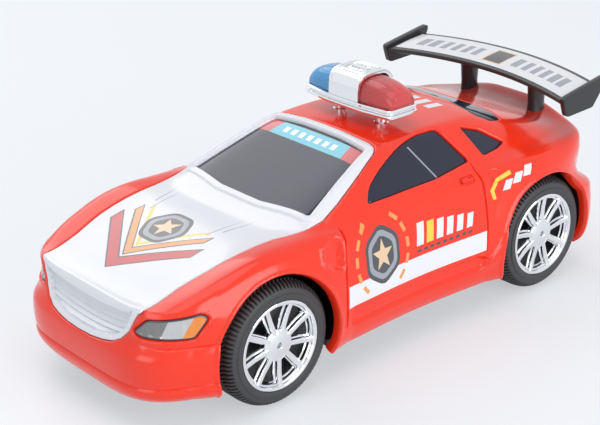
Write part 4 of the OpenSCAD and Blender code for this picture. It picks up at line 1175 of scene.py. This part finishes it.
studio = {
    "eye": (285.54, 319.87, 216.87), "azimuth": 139.08, "elevation": 23.37, "roll": -0.90,
    "lens": 91.18, "sensor": 36, "nearClip": 0.01,
    "floor": (0.88, 0.93, 0.98), "floorSize": 6, "floorRough": 0.55, "glow": (0.95, 0.97, 1.0), "glowShare": 0.5,
    "world": 0.36, "sky": (0.97, 0.985, 1.0),
    # place, aim, size and power
    "lamps": {"topLight": ((0.15, 0.15, 0.85), (0.0, 0.0, 0.03), 0.7, 1.9),
              "sideLight": ((-0.12, 1.0, 0.24), (0.0, 0.0, 0.03), 0.8, 7.0),
              "frontLight": ((0.95, 0.12, 0.32), (0.0, 0.0, 0.03), 0.5, 1.6),
              "farLight": ((-0.05, -0.8, 0.85), (0.0, 0.0, 0.04), 0.9, 4.5)},
}


def addCamera(scene):
    a, e, r = (math.radians(studio[k]) for k in ("azimuth", "elevation", "roll"))
    back = Vector((math.sin(a) * math.cos(e), -math.cos(a) * math.cos(e), math.sin(e)))
    right = (-back).cross(Vector((0, 0, 1))).normalized()
    up = right.cross(-back)
    right, up = right * math.cos(r) + up * math.sin(r), up * math.cos(r) - right * math.sin(r)
    camera = bpy.data.objects.new("photoCamera", bpy.data.cameras.new("photoCamera"))
    view = camera.data
    view.lens, view.sensor_width, view.clip_start = (studio[k] for k in ("lens", "sensor", "nearClip"))
    place = Matrix((right, up, back)).transposed().to_4x4()
    place.translation = Vector(studio["eye"]) * mm
    camera.matrix_world = place
    scene.collection.objects.link(camera)
    scene.camera = camera


def seenRays(tree):
    # 1 for what the camera, a mirror or a clear piece looks at, 0 for the light that falls on things
    rays = ("Is Camera Ray", "Is Glossy Ray", "Is Transmission Ray")
    camera, glossy, clear = (addNode(tree, "ShaderNodeLightPath", out=ray) for ray in rays)
    return camera + glossy + clear > 0.5


def buildStudio():
    scene = bpy.context.scene
    addCamera(scene)
    for name, (at, aim, size, power) in studio["lamps"].items():
        lamp = bpy.data.objects.new(name, bpy.data.lights.new(name, "AREA"))
        lamp.data.size, lamp.data.energy = size, power
        lamp.location = at
        lamp.rotation_euler = (Vector(at) - Vector(aim)).to_track_quat("Z", "Y").to_euler()
        scene.collection.objects.link(lamp)
    scene.world = bpy.data.worlds.new("studioWorld")
    scene.world.use_nodes = True
    tree = scene.world.node_tree
    sky = tree.nodes["Background"].inputs
    tree.links.new((seenRays(tree) * (1 - studio["world"]) + studio["world"]).socket, sky["Strength"])
    sky["Color"].default_value = rgba(studio["sky"])
    bpy.ops.mesh.primitive_plane_add(size=studio["floorSize"])
    floor = bpy.context.object
    floor.name = "studioFloor"
    material, tree, shader = newFinish("FloorPaper", studio["floor"], {"Roughness": studio["floorRough"]})
    glow = addNode(tree, "ShaderNodeEmission", None, {"Color": rgba(studio["glow"])})
    blend = addNode(tree, "ShaderNodeMixShader", None,
                    {0: seenRays(tree) * studio["glowShare"], 1: Wire(tree, shader.outputs[0]), 2: glow})
    tree.links.new(blend.socket, tree.nodes["Material Output"].inputs["Surface"])
    floor.data.materials.append(material)
    scene.view_settings.view_transform = "Standard"
    print("studio done")


buildStudio()
